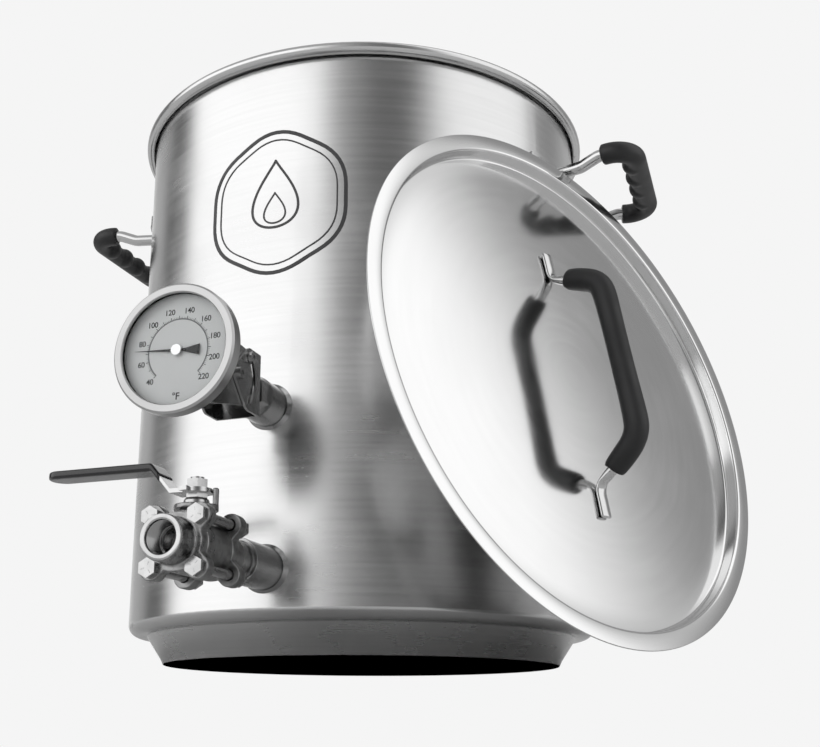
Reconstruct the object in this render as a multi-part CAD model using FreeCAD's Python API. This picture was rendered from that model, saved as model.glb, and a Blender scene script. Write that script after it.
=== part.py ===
import FreeCAD, Part
import math
import os

# A stainless brew kettle with a dial thermometer and a three-piece ball valve.
# Its lid stands on the floor and leans against the wall. Millimetres, +Z up.
# The origin is on the kettle's axis at the floor, and the valve faces -Y.

Vector = FreeCAD.Vector
UP = Vector(0, 0, 1)
OUT = Vector(0, -1, 0)
RIGHT = Vector(1, 0, 0)

# ---- kettle -------------------------------------------------------------
BODY_RADIUS = 180.0
BODY_WALL = 1.2
BODY_CORNER = 8.0
RIM_TOP = 433.5
RIM_BEAD_RADIUS = 4.2
RIM_CURL_END_DEG = -112.0
MOUTH_SIZING = 0.55
MOUTH_DEPTH = 47.5
BASE_HEIGHT = 20.5
BASE_INSET = 14.0
BASE_FLARE = 11.0
BASE_CHAMFER = 4.0
BASE_SKIN = 0.8

# ---- welded half-inch couplings -----------------------------------------
COUPLING_RADIUS = 14.3
PORT_BEVEL = 0.06
COUPLING_INSIDE = 2.5
PORT_RADIUS = 9.6
WELD_SIZE = 1.8

# ---- ball valve ---------------------------------------------------------
VALVE_HEIGHT = 53.5
VALVE_COUPLING_REACH = 39.0
NIPPLE_SHOWN = 16.0
NIPPLE_RADIUS = 10.65
PIPE_BORE = 7.5
NIPPLE_GRIP = 12.5
CAP_HUB_LENGTH = 15.0
CAP_HUB_RADIUS = 13.2
CAP_FLANGE = 8.0
CAP_LOBE_EDGE = 4.0
CAP_SPIGOT = 2.5
BALL_RADIUS = 12.4
BALL_BORE = 7.0
BALL_ROOM = 1.6
BALL_END_ROOM = 2.6
VALVE_WALL = 3.0
SEAT_CLEARANCE = 0.1
SEAL_WIDTH = 2.0
SEAL_DEPTH = 1.5
BOLT_RADIUS = 3.0
BOLT_ROOM = 0.5
BOLT_HOLE_SLACK = 0.3
BOLT_FLATS_RATIO = 10 / 3
BOLT_HEAD = 4.0
BOLT_NUT = 5.0
BOLT_TAIL = 2.0
LOCK_WASHER = 1.4
LOCK_WASHER_EDGE = 2.4
STEM_RADIUS = 4.0
STEM_SHOULDER_EDGE = 2.4
STEM_SHOULDER = 2.6
SHOULDER_GAP = 0.4
TANG_WIDTH = 4.8
TANG_DEPTH = 4.0
THRUST_WASHER = 1.0
NECK_WALL = 2.5
NECK_FLOOR = 2.6
PAD_EDGE = 0.2
PAD_THICK = 3.0
PACKING_WIDTH = 3.0
PACKING_DEPTH = 5.0
GLAND_RISE = 2.6
GLAND_EDGE = 0.6
DISC_SPRING = 1.6
DISC_SPRING_WIDTH = 3.2
DISC_SPRING_EDGE = 1.0
PACKING_NUT_WALL = 2.0
PACKING_NUT = 3.0
STEM_NUT_WALL = 1.75
STEM_NUT = 5.6
STEM_TAIL = 1.4
LEVER_REACH = 100.0
LEVER_THICK = 2.5
LEVER_WIDTH = 15.0
LEVER_HUB_EDGE = 5.2
LEVER_FLAT = 4.8
LEVER_SLOPE = 13.0
LEVER_RISE = 15.0
SLEEVE_SKIN = 1.3
SLEEVE_SETBACK = 7.0
STOP_ANGLE = 15.0
STOP_HALF_WIDTH = 2.0
STOP_THICK = 3.0
STOP_EAR_SPAN = 26.0
STOP_CLEARANCE = 0.6
LEVER_SWING = 90.0

# ---- dial thermometer ---------------------------------------------------
DIAL_HEIGHT = 162.5
DIAL_COUPLING_REACH = 24.0
PROBE_RADIUS = 3.2
PROBE_INSIDE = 60.0
FITTING_FLATS = 24.0
FITTING_HEX = 12.0
FITTING_NECK = 9.0
FITTING_NECK_RADIUS = 9.0
FITTING_GRIP = 13.0
COLLAR_RADIUS = 8.0
COLLAR_LENGTH = 6.0
LOCKNUT_FLATS = 20.0
LOCKNUT = 3.0
SHEET = 1.6
YOKE_SIDE_ROOM = 3.3
YOKE_EDGE = 6.0
LOCK_RADIUS = 20.0
YOKE_ROOM = 9.0
LOCK_ANGLE = 135.0
TILT_RANGE = 90.0
SCREW_RADIUS = 2.0
SCREW_HEAD_EDGE = 1.9
SCREW_HEAD = 2.4
SCREW_SOCKET_FLATS = 3.0
SCREW_NUT_WALL = 1.5
SCREW_NUT = 2.0
SCREW_TAIL = 0.6
CASE_BACK = 43.5
HEAD_TOP = 22.0
HEAD_BOTTOM = 29.0
HEAD_EDGE = 5.0
HEAD_ELBOW = 12.0
CASE_RADIUS = 37.2
CASE_WALL = 1.2
CASE_DEPTH = 7.6
CASE_TAPER = 3.2
CASE_TAPER_DEPTH = 3.0
DIAL_LEDGE = 2.9
DIAL_PLATE = 0.8
LEDGE_WIDTH = 4.5
GASKET = 0.8
LENS = 1.4
BEZEL_THICK = 1.8
BEZEL_COVER = 3.7
BEZEL_LIP = 1.7
BEZEL_SKIRT = 6.5
BEZEL_ROUND = 1.2
BELLOWS_RIDGE = 7.6
BELLOWS_VALLEY = 6.2
BELLOWS_PITCH = 3.6
BELLOWS_BORE = 4.8
SPINDLE_RADIUS = 1.2
BUSH_RADIUS = 4.0
BUSH_LENGTH = 2.6
POINTER_LIFT = 0.9
POINTER_THICK = 0.5
POINTER_TIP_GAP = 9.2
POINTER_WAIST = 0.8
POINTER_NECK = 0.5
POINTER_BOSS_RADIUS = 2.6
POINTER_TAIL = 14.5
POINTER_TAIL_WIDTH = 6.4
POINTER_REST_DEG = 176.0
HUB_RADIUS = 3.2
HUB_THICK = 1.2

# ---- side handles -------------------------------------------------------
HANDLE_DROP = 62.0
HANDLE_SPREAD_DEG = 14.0
HANDLE_ROD_RADIUS = 4.7
HANDLE_REACH = 57.0
HANDLE_RISE = 5.0
HANDLE_RISE_START = 23.0
HANDLE_RISE_END = 37.0
HANDLE_CORNER = 16.0
HANDLE_BEND = 12.0
HANDLE_GRIP_SKIN = 3.3
HANDLE_GRIP_START = 41.0
FINGER_RIDGES = 4
FINGER_PITCH = 21.0
FINGER_RIDGE = 0.6
FINGER_RIDGE_SHIFT = 2.6
STRAP_HEIGHT = 14.0
STRAP_THICK = 2.4
STRAP_HALF_DEG = 11.2
STRAP_CORNER = 3.0
RIVET_OFFSET_DEG = 7.8
RIVET_RADIUS = 2.4
RIVET_HEAD_RADIUS = 4.2
RIVET_HEAD = 2.0
RIVET_FOOT = 1.0

# ---- lid ----------------------------------------------------------------
LID_OVERHANG = 0.8
LID_SHEET = 1.0
LID_FIT_GAP = 2.2
LID_RECESS_DEPTH = 10.0
LID_ROUND = 2.0
LID_CHANNEL_WIDTH = 12.6
LID_DOME_RISE = 4.5
LID_AZIMUTH_DEG = 61.0
LID_TILT_DEG = 11.6
LID_WALL_GAP = 0.4
LID_ROD_RADIUS = 3.75
LID_FOOT_END = 101.0
LID_FOOT_BEND = 77.0
LID_FOOT_WIDTH = 10.0
LID_FOOT_THICK = 3.6
LID_HANDLE_HALF = 51.0
LID_HANDLE_RISE = 39.0
LID_HANDLE_CORNER = 20.0
LID_BEND = 8.0
LID_HEEL = 8.0
LID_GRIP_SKIN = 4.25
LID_GRIP_START = 0.42

# ---- clearances ---------------------------------------------------------
RUNNING_GAP = 0.05
BODY_GAP = 0.3
SAME_LENGTH = 0.01

# ---- places that follow from the sizes ----------------------------------
INNER_RADIUS = BODY_RADIUS - BODY_WALL
MOUTH_RADIUS = INNER_RADIUS + MOUTH_SIZING
PORT_MOUTH_RADIUS = COUPLING_RADIUS + PORT_BEVEL
BASE_TOP_RADIUS = BODY_RADIUS - BASE_INSET
BASE_FOOT_RADIUS = BASE_TOP_RADIUS - BASE_FLARE
HANDLE_HEIGHT = RIM_TOP - HANDLE_DROP
HANDLE_GRIP_RADIUS = HANDLE_ROD_RADIUS + HANDLE_GRIP_SKIN
FINGER_RIDGE_RADIUS = HANDLE_GRIP_RADIUS + FINGER_RIDGE

CAVITY_RADIUS = BALL_RADIUS + BALL_ROOM
VALVE_RADIUS = CAVITY_RADIUS + VALVE_WALL
VALVE_HALF = BALL_RADIUS + BALL_END_ROOM
BOLT_PITCH = math.sqrt(2) * (VALVE_RADIUS + BOLT_ROOM + BOLT_RADIUS)
BOLT_HEAD_FLATS = BOLT_RADIUS * BOLT_FLATS_RATIO
CAP_LOBE_RADIUS = BOLT_RADIUS + CAP_LOBE_EDGE
LOCK_WASHER_RADIUS = BOLT_RADIUS + LOCK_WASHER_EDGE
STEM_SHOULDER_RADIUS = STEM_RADIUS + STEM_SHOULDER_EDGE
PACKING_RADIUS = STEM_RADIUS + PACKING_WIDTH
NECK_RADIUS = PACKING_RADIUS + NECK_WALL
GLAND_FLANGE_RADIUS = PACKING_RADIUS + GLAND_EDGE
DISC_SPRING_RADIUS = STEM_RADIUS + DISC_SPRING_WIDTH
PACKING_NUT_FLATS = 2 * (STEM_RADIUS + PACKING_NUT_WALL)
STEM_NUT_FLATS = 2 * (STEM_RADIUS + STEM_NUT_WALL)
LEVER_HUB_RADIUS = STEM_RADIUS + LEVER_HUB_EDGE
LEVER_SLOPE_START = LEVER_HUB_RADIUS + LEVER_FLAT
LEVER_SLOPE_END = LEVER_SLOPE_START + LEVER_SLOPE
SLEEVE_START = LEVER_SLOPE_START + SLEEVE_SETBACK
STOP_INNER = LEVER_HUB_RADIUS + STOP_CLEARANCE
STOP_OUTER = STOP_INNER + STOP_THICK
PAD_RADIUS = STOP_OUTER + PAD_EDGE
STEM_REACH = (BODY_RADIUS + VALVE_COUPLING_REACH + NIPPLE_SHOWN
              + CAP_HUB_LENGTH + CAP_FLANGE + VALVE_HALF)
SHOULDER_FLOOR = BALL_RADIUS + SHOULDER_GAP
POCKET_TOP = SHOULDER_FLOOR + STEM_SHOULDER + THRUST_WASHER
PACKING_FLOOR = POCKET_TOP + NECK_FLOOR
NECK_TOP = PACKING_FLOOR + PACKING_DEPTH
GLAND_TOP = NECK_TOP + GLAND_RISE
SPRING_FLOOR = GLAND_TOP + RUNNING_GAP
PACKING_NUT_FLOOR = SPRING_FLOOR + DISC_SPRING
LEVER_FLOOR = PACKING_NUT_FLOOR + PACKING_NUT
STEM_NUT_FLOOR = LEVER_FLOOR + LEVER_THICK

DIAL_COUPLING_END = BODY_RADIUS + DIAL_COUPLING_REACH
FITTING_HEX_END = DIAL_COUPLING_END + FITTING_HEX
FITTING_END = FITTING_HEX_END + FITTING_NECK
YOKE_LENGTH = LOCK_RADIUS + YOKE_ROOM
PIVOT_PLACE = FITTING_END + YOKE_LENGTH
CASE_PLACE = PIVOT_PLACE + CASE_BACK
YOKE_INNER = LOCKNUT_FLATS / 2 + YOKE_SIDE_ROOM
HEAD_OUTER = YOKE_INNER - BODY_GAP
HEAD_INNER = HEAD_OUTER - SHEET
SCREW_HEAD_RADIUS = SCREW_RADIUS + SCREW_HEAD_EDGE
SCREW_NUT_FLATS = 2 * (SCREW_RADIUS + SCREW_NUT_WALL)
CASE_INNER = CASE_RADIUS - CASE_WALL
CASE_BACK_RADIUS = CASE_RADIUS - CASE_TAPER
CASE_TAPER_INNER = CASE_BACK_RADIUS - CASE_WALL
LEDGE_INNER = CASE_INNER - LEDGE_WIDTH
BEZEL_RADIUS = CASE_RADIUS + BEZEL_THICK
BEZEL_OPENING = CASE_RADIUS - BEZEL_COVER
POINTER_LENGTH = CASE_RADIUS - POINTER_TIP_GAP

LID_RADIUS = INNER_RADIUS + 2 * RIM_BEAD_RADIUS + LID_OVERHANG
LID_RECESS_RADIUS = INNER_RADIUS - LID_SHEET - LID_FIT_GAP
LID_CHANNEL_INNER = LID_RECESS_RADIUS - LID_CHANNEL_WIDTH
LID_GRIP_RADIUS = LID_ROD_RADIUS + LID_GRIP_SKIN

NODES = {}


# ---- small helpers ------------------------------------------------------
def cylinder(radius, start, end):
    """A round bar from one point to another."""
    return Part.makeCylinder(radius, (end - start).Length, start, end - start)


def ring(outer, inner, start, end):
    """A round bar with a round hole through it."""
    return cylinder(outer, start, end).cut(cylinder(inner, start, end))


def prism(points, push):
    """A flat outline pushed out to a solid."""
    return Part.Face(Part.makePolygon(points + points[:1])).extrude(push)


def hex_bar(flats, start, end, side):
    """A hexagonal bar with one corner pointing along side."""
    axis = end - start
    corner = flats / math.sqrt(3)
    points = []
    for step in range(6):
        turn = FreeCAD.Rotation(axis, 60.0 * step)
        points.append(start + turn.multVec(side) * corner)
    return prism(points, axis)


def revolve(points, start, axis, side):
    """A solid of revolution from (radius, distance along axis) points."""
    corners = [start + side * radius + axis * along for radius, along in points]
    face = Part.Face(Part.makePolygon(corners + corners[:1]))
    return face.revolve(start, axis, 360)


def rounded_path(points, radii):
    """Straight runs joined by tangent arcs, one radius per inner point."""
    edges = []
    last = points[0]
    for index, radius in enumerate(radii, start=1):
        back = (points[index - 1] - points[index]).normalize()
        ahead = (points[index + 1] - points[index]).normalize()
        half = back.getAngle(ahead) / 2
        trim = radius / math.tan(half)
        enter = points[index] + back * trim
        leave = points[index] + ahead * trim
        bisector = (back + ahead).normalize()
        middle = points[index] + bisector * (radius / math.sin(half) - radius)
        edges.append(Part.makeLine(last, enter))
        edges.append(Part.Arc(enter, middle, leave).toShape())
        last = leave
    edges.append(Part.makeLine(last, points[-1]))
    return Part.Wire(edges)


def pipe(path, radius, start, direction):
    """A round section swept along a path that leaves start along direction."""
    section = Part.Wire(Part.makeCircle(radius, start, direction))
    return path.makePipeShell([section], True, True)


def on_valve(along, across=0.0, height=0.0):
    """A point by its distance outward from the stem, sideways and upward."""
    return Vector(across, -(STEM_REACH + along), VALVE_HEIGHT + height)


def on_dial(reach, across=0.0, height=0.0):
    """A point by its distance from the kettle's axis, on the dial's level."""
    return Vector(across, -reach, DIAL_HEIGHT + height)


def keep(name, shape):
    """Files a finished piece under its node name."""
    NODES[name] = shape


# ---- kettle -------------------------------------------------------------
def kettle_profile():
    """The wall's section, from the bottom's centre to the sized mouth and the rolled rim."""
    bead = Vector(MOUTH_RADIUS + RIM_BEAD_RADIUS, 0, RIM_TOP - RIM_BEAD_RADIUS)
    inner_bead = MOUTH_RADIUS + RIM_BEAD_RADIUS - BODY_RADIUS
    seat = Vector(INNER_RADIUS, 0, RIM_TOP - MOUTH_DEPTH)
    mouth = Vector(MOUTH_RADIUS, 0, RIM_TOP - MOUTH_DEPTH)
    end = math.radians(RIM_CURL_END_DEG)
    end_way = Vector(math.cos(end), 0, math.sin(end))
    bulge = Vector(math.cos(math.radians(45)), 0, math.sin(math.radians(45)))
    corner = Vector(BODY_RADIUS - BODY_CORNER, 0, BASE_HEIGHT + BODY_CORNER)
    slant = Vector(math.cos(math.radians(-45)), 0, math.sin(math.radians(-45)))
    inner_corner = BODY_CORNER - BODY_WALL
    floor_in = Vector(0, 0, BASE_HEIGHT + BODY_WALL)
    floor_out = Vector(0, 0, BASE_HEIGHT)
    a = corner - UP * inner_corner
    b = corner + RIGHT * inner_corner
    c = bead - RIGHT * RIM_BEAD_RADIUS
    d = bead + end_way * RIM_BEAD_RADIUS
    e = bead + end_way * inner_bead
    f = bead - RIGHT * inner_bead
    g = corner + RIGHT * BODY_CORNER
    h = corner - UP * BODY_CORNER
    return Part.Wire([
        Part.makeLine(floor_in, a),
        Part.Arc(a, corner + slant * inner_corner, b).toShape(),
        Part.makeLine(b, seat),
        Part.makeLine(seat, mouth),
        Part.makeLine(mouth, c),
        Part.Arc(c, bead + bulge * RIM_BEAD_RADIUS, d).toShape(),
        Part.makeLine(d, e),
        Part.Arc(e, bead + bulge * inner_bead, f).toShape(),
        Part.makeLine(f, g),
        Part.Arc(g, corner + slant * BODY_CORNER, h).toShape(),
        Part.makeLine(h, floor_out),
        Part.makeLine(floor_out, floor_in),
    ])


def build_kettle():
    """The drawn body, with holes bevelled inwards for the couplings, and holes for the handle rivets."""
    shell = Part.Face(kettle_profile()).revolve(Vector(0, 0, 0), UP, 360)
    for height in (VALVE_HEIGHT, DIAL_HEIGHT):
        inside = Vector(0, -INNER_RADIUS + COUPLING_RADIUS, height)
        outside = Vector(0, -BODY_RADIUS - COUPLING_RADIUS, height)
        way = outside - inside
        shell = shell.cut(Part.makeCone(PORT_MOUTH_RADIUS, COUPLING_RADIUS, way.Length, inside, way))
    for angle in rivet_angles():
        shank = rivet_shank(angle)
        shell = shell.cut(shank).cut(shank.mirror(Vector(0, 0, 0), RIGHT))
    keep("kettle_shell", shell)


def base_outline(inset):
    """The foot's section, drawn in by inset on every side but the top."""
    return [
        (0, inset),
        (BASE_FOOT_RADIUS - BASE_CHAMFER / 2 - inset, inset),
        (BASE_FOOT_RADIUS - inset, BASE_CHAMFER),
        (BASE_TOP_RADIUS - inset, BASE_HEIGHT),
        (0, BASE_HEIGHT),
    ]


def build_base():
    """The aluminium heat spreader and the steel cap pressed over it."""
    origin = Vector(0, 0, 0)
    core = revolve(base_outline(BASE_SKIN), origin, UP, RIGHT)
    cap = revolve(base_outline(0.0), origin, UP, RIGHT).cut(core)
    keep("base_core", core)
    keep("base_cap", cap)


def build_coupling(name, height, reach):
    """A threaded coupling through the wall, with its weld bead outside."""
    inner = Vector(0, -INNER_RADIUS + COUPLING_INSIDE, height)
    outer = Vector(0, -BODY_RADIUS - reach, height)
    weld_start = Vector(0, -BODY_RADIUS + WELD_SIZE, height)
    bead = Part.makeCone(COUPLING_RADIUS + 2 * WELD_SIZE, COUPLING_RADIUS,
                         2 * WELD_SIZE, weld_start, OUT)
    wall = cylinder(BODY_RADIUS, Vector(0, 0, 0), UP * RIM_TOP)
    body = cylinder(COUPLING_RADIUS, inner, outer).fuse(bead.cut(wall))
    keep(name, body.cut(cylinder(PORT_RADIUS, inner, outer)).removeSplitter())


# ---- ball valve ---------------------------------------------------------
def bolt_places():
    """The four bolt centres around the valve's axis."""
    half = BOLT_PITCH / 2
    return [(across, height) for across in (-half, half) for height in (-half, half)]


def build_valve_cap(name, side):
    """One end cap: a threaded hub, a lobed flange and a short spigot."""
    face = side * VALVE_HALF
    back = side * (VALVE_HALF + CAP_FLANGE)
    mouth = side * (VALVE_HALF + CAP_FLANGE + CAP_HUB_LENGTH)
    spigot = side * (VALVE_HALF - CAP_SPIGOT)
    cap = cylinder(VALVE_RADIUS, on_valve(face), on_valve(back))
    cap = cap.fuse(cylinder(CAP_HUB_RADIUS, on_valve(back), on_valve(mouth)))
    cap = cap.fuse(cylinder(CAVITY_RADIUS - BODY_GAP, on_valve(spigot), on_valve(face)))
    for across, height in bolt_places():
        lobe = cylinder(CAP_LOBE_RADIUS, on_valve(face, across, height),
                        on_valve(back, across, height))
        way = Vector(across, 0, height).normalize()
        edge = Vector(-way.z, 0, way.x) * CAP_LOBE_RADIUS
        centre = on_valve(face)
        tip = on_valve(face, across, height)
        arm = prism([centre + edge, tip + edge, tip - edge, centre - edge],
                    on_valve(back) - on_valve(face))
        cap = cap.fuse(lobe).fuse(arm)
    for across, height in bolt_places():
        cap = cap.cut(cylinder(BOLT_RADIUS + BOLT_HOLE_SLACK,
                               on_valve(face, across, height), on_valve(back, across, height)))
    cap = cap.cut(cylinder(PORT_RADIUS, on_valve(back), on_valve(mouth)))
    cap = cap.cut(cylinder(PIPE_BORE, on_valve(spigot), on_valve(mouth)))
    keep(name, cap.removeSplitter())


def build_valve_seat(name, side):
    """A soft seat ring, hollowed to the ball."""
    outer = side * (VALVE_HALF - CAP_SPIGOT)
    inner = side * (STEM_SHOULDER_RADIUS + SEAT_CLEARANCE)
    seat = ring(CAVITY_RADIUS, PIPE_BORE, on_valve(inner), on_valve(outer))
    ball = Part.makeSphere(BALL_RADIUS + RUNNING_GAP, on_valve(0))
    keep(name, seat.cut(ball))


def build_valve_seal(name, side):
    """The gasket between the body and one end cap."""
    outer = side * VALVE_HALF
    inner = side * (VALVE_HALF - SEAL_DEPTH)
    keep(name, ring(CAVITY_RADIUS + SEAL_WIDTH, CAVITY_RADIUS, on_valve(inner), on_valve(outer)))


def stop_post():
    """The upright that the lever's ears come to rest against."""
    low = NECK_TOP - PAD_THICK
    high = STEM_NUT_FLOOR + STOP_CLEARANCE
    corners = [(STOP_INNER, -STOP_HALF_WIDTH), (STOP_OUTER, -STOP_HALF_WIDTH),
               (STOP_OUTER, STOP_HALF_WIDTH), (STOP_INNER, STOP_HALF_WIDTH)]
    points = [Vector(x, y, 0) for x, y in corners]
    post = prism(points, UP * (high - low))
    post.rotate(Vector(0, 0, 0), UP, STOP_ANGLE)
    post.translate(on_valve(0, 0, low))
    return post


def build_valve_body():
    """The centre section, with the stem's neck, the pad and the stop post."""
    body = cylinder(VALVE_RADIUS, on_valve(-VALVE_HALF), on_valve(VALVE_HALF))
    body = body.fuse(cylinder(NECK_RADIUS, on_valve(0), on_valve(0, 0, NECK_TOP)))
    body = body.fuse(cylinder(PAD_RADIUS, on_valve(0, 0, NECK_TOP - PAD_THICK),
                              on_valve(0, 0, NECK_TOP)))
    body = body.fuse(stop_post())
    body = body.cut(cylinder(CAVITY_RADIUS, on_valve(-VALVE_HALF), on_valve(VALVE_HALF)))
    for side in (1, -1):
        body = body.cut(cylinder(CAVITY_RADIUS + SEAL_WIDTH,
                                 on_valve(side * (VALVE_HALF - SEAL_DEPTH)),
                                 on_valve(side * VALVE_HALF)))
    pocket = cylinder(STEM_SHOULDER_RADIUS + BODY_GAP, on_valve(0), on_valve(0, 0, POCKET_TOP))
    bore = cylinder(STEM_RADIUS + BODY_GAP, on_valve(0), on_valve(0, 0, NECK_TOP))
    chamber = cylinder(PACKING_RADIUS, on_valve(0, 0, PACKING_FLOOR), on_valve(0, 0, NECK_TOP))
    keep("valve_body", body.cut(pocket).cut(bore).cut(chamber).removeSplitter())


def build_valve_fixings():
    """Four bolts with their nuts and lock washers, each set in one node."""
    bolts = []
    nuts = []
    washers = []
    head = VALVE_HALF + CAP_FLANGE
    tail = -head - LOCK_WASHER - BOLT_NUT - BOLT_TAIL
    for across, height in bolt_places():
        bar = cylinder(BOLT_RADIUS, on_valve(tail, across, height), on_valve(head, across, height))
        cap = hex_bar(BOLT_HEAD_FLATS, on_valve(head, across, height),
                      on_valve(head + BOLT_HEAD, across, height), UP)
        bolts.append(bar.fuse(cap))
        washer_end = -head - LOCK_WASHER
        washers.append(ring(LOCK_WASHER_RADIUS, BOLT_RADIUS,
                            on_valve(-head, across, height),
                            on_valve(washer_end, across, height)))
        nut = hex_bar(BOLT_HEAD_FLATS, on_valve(washer_end, across, height),
                      on_valve(washer_end - BOLT_NUT, across, height), UP)
        nuts.append(nut.cut(bar))
    keep("valve_bolts", Part.makeCompound(bolts))
    keep("valve_nuts", Part.makeCompound(nuts))
    keep("valve_lock_washers", Part.makeCompound(washers))


def build_valve_ball_and_stem():
    """The ball, closed at rest, and the stem whose tang turns it."""
    ball = Part.makeSphere(BALL_RADIUS, on_valve(0))
    width = 2 * BALL_RADIUS
    ball = ball.cut(cylinder(BALL_BORE, on_valve(0, -width), on_valve(0, width)))
    slot_floor = BALL_RADIUS - TANG_DEPTH
    slot = Part.makeBox(TANG_WIDTH, 2 * width, 2 * TANG_DEPTH,
                        on_valve(width, -TANG_WIDTH / 2, slot_floor))
    keep("valve_ball", ball.cut(slot))
    tang = Part.makeBox(TANG_WIDTH, 2 * STEM_RADIUS, SHOULDER_FLOOR - slot_floor,
                        on_valve(STEM_RADIUS, -TANG_WIDTH / 2, slot_floor))
    shoulder = cylinder(STEM_SHOULDER_RADIUS, on_valve(0, 0, SHOULDER_FLOOR),
                        on_valve(0, 0, SHOULDER_FLOOR + STEM_SHOULDER))
    top = STEM_NUT_FLOOR + STEM_NUT + STEM_TAIL
    shaft = cylinder(STEM_RADIUS, on_valve(0, 0, SHOULDER_FLOOR), on_valve(0, 0, top))
    keep("valve_stem", tang.fuse(shoulder).fuse(shaft).removeSplitter())


def build_valve_stack():
    """What sits round the stem, from the thrust washer up to the stem nut."""
    slack = STEM_RADIUS + RUNNING_GAP
    washer_low = POCKET_TOP - THRUST_WASHER + RUNNING_GAP
    keep("valve_thrust_washer", ring(STEM_SHOULDER_RADIUS, slack, on_valve(0, 0, washer_low),
                                     on_valve(0, 0, POCKET_TOP)))
    packing_top = NECK_TOP - PACKING_DEPTH / 2
    keep("valve_packing", ring(PACKING_RADIUS, slack, on_valve(0, 0, PACKING_FLOOR),
                               on_valve(0, 0, packing_top)))
    gland = ring(PACKING_RADIUS - RUNNING_GAP, slack, on_valve(0, 0, packing_top),
                 on_valve(0, 0, GLAND_TOP))
    flange = ring(GLAND_FLANGE_RADIUS, slack, on_valve(0, 0, NECK_TOP),
                  on_valve(0, 0, GLAND_TOP))
    keep("valve_gland", gland.fuse(flange).removeSplitter())
    edge = DISC_SPRING_RADIUS - DISC_SPRING_EDGE
    cone = [(STEM_RADIUS, 0), (edge, 0), (DISC_SPRING_RADIUS, DISC_SPRING / 2),
            (edge, DISC_SPRING), (STEM_RADIUS, DISC_SPRING)]
    keep("valve_disc_spring", revolve(cone, on_valve(0, 0, SPRING_FLOOR), UP, RIGHT))
    for name, flats, low, thick in (
            ("valve_packing_nut", PACKING_NUT_FLATS, PACKING_NUT_FLOOR, PACKING_NUT),
            ("valve_stem_nut", STEM_NUT_FLATS, STEM_NUT_FLOOR, STEM_NUT)):
        nut = hex_bar(flats, on_valve(0, 0, low), on_valve(0, 0, low + thick), RIGHT)
        bore = cylinder(STEM_RADIUS, on_valve(0, 0, low), on_valve(0, 0, low + thick))
        keep(name, nut.cut(bore))


def lever_side(start, end, lift, thick):
    """The bent strip's side view between two distances from the stem."""
    slope = LEVER_RISE / LEVER_SLOPE

    def rise(reach):
        """The strip's height above its hub at a distance from the stem."""
        bent = min(max(reach, LEVER_SLOPE_START), LEVER_SLOPE_END)
        return (bent - LEVER_SLOPE_START) * slope

    stations = [reach for reach in (LEVER_SLOPE_START, LEVER_SLOPE_END) if start < reach < end]
    stations = [start] + stations + [end]
    low = [(reach, rise(reach) + lift) for reach in stations]
    high = [(reach, height + thick) for reach, height in reversed(low)]
    return [on_valve(0, -reach, LEVER_FLOOR + height) for reach, height in low + high]


def lever_sector(angle_from, angle_to):
    """A pie slice of the lever's sheet between two angles from +X."""
    turn = FreeCAD.Rotation(UP, angle_from)
    ear = Part.makeCylinder(STOP_OUTER, LEVER_THICK, Vector(0, 0, 0), UP, angle_to - angle_from)
    ear.Placement = FreeCAD.Placement(on_valve(0, 0, LEVER_FLOOR), turn)
    return ear


def build_valve_lever():
    """The bent steel lever with its two stop ears, and its soft sleeve."""
    half = LEVER_WIDTH / 2
    reach = LEVER_REACH - half
    strip = prism([point + OUT * half for point in lever_side(0, reach, 0, LEVER_THICK)],
                  OUT * -LEVER_WIDTH)
    tip = on_valve(0, -reach, LEVER_FLOOR + LEVER_RISE)
    strip = strip.fuse(cylinder(half, tip, tip + UP * LEVER_THICK))
    hub_low = on_valve(0, 0, LEVER_FLOOR)
    hub_high = on_valve(0, 0, STEM_NUT_FLOOR)
    hub = cylinder(LEVER_HUB_RADIUS, hub_low, hub_high)
    half_post = math.degrees(math.asin((STOP_HALF_WIDTH + BODY_GAP) / LEVER_HUB_RADIUS))
    high_ear = STOP_ANGLE + half_post
    low_ear = STOP_ANGLE - LEVER_SWING - half_post - STOP_EAR_SPAN
    for start in (high_ear, low_ear):
        hub = hub.fuse(lever_sector(start, start + STOP_EAR_SPAN))
    lever = strip.fuse(hub).cut(cylinder(STEM_RADIUS, hub_low, hub_high))
    keep("valve_lever", lever.removeSplitter())
    width = LEVER_WIDTH + 2 * SLEEVE_SKIN
    side = lever_side(SLEEVE_START, reach, -SLEEVE_SKIN, LEVER_THICK + 2 * SLEEVE_SKIN)
    sleeve = prism([point + OUT * (width / 2) for point in side], OUT * -width)
    sleeve = sleeve.fuse(cylinder(width / 2, tip - UP * SLEEVE_SKIN,
                                  tip + UP * (LEVER_THICK + SLEEVE_SKIN)))
    keep("valve_lever_sleeve", sleeve.removeSplitter().cut(lever))


def build_valve():
    """The whole valve, screwed to its coupling by a nipple."""
    build_coupling("valve_coupling", VALVE_HEIGHT, VALVE_COUPLING_REACH)
    coupling_end = -(STEM_REACH - BODY_RADIUS - VALVE_COUPLING_REACH)
    cap_end = coupling_end + NIPPLE_SHOWN
    inner = on_valve(coupling_end - NIPPLE_GRIP)
    outer = on_valve(cap_end + NIPPLE_GRIP)
    nipple = cylinder(PORT_RADIUS, inner, outer)
    nipple = nipple.fuse(cylinder(NIPPLE_RADIUS, on_valve(coupling_end), on_valve(cap_end)))
    keep("valve_nipple", nipple.cut(cylinder(PIPE_BORE, inner, outer)).removeSplitter())
    for name, side in (("outer", 1), ("inner", -1)):
        build_valve_cap("valve_cap_" + name, side)
        build_valve_seat("valve_seat_" + name, side)
        build_valve_seal("valve_seal_" + name, side)
    build_valve_body()
    build_valve_fixings()
    build_valve_ball_and_stem()
    build_valve_stack()
    build_valve_lever()


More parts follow.
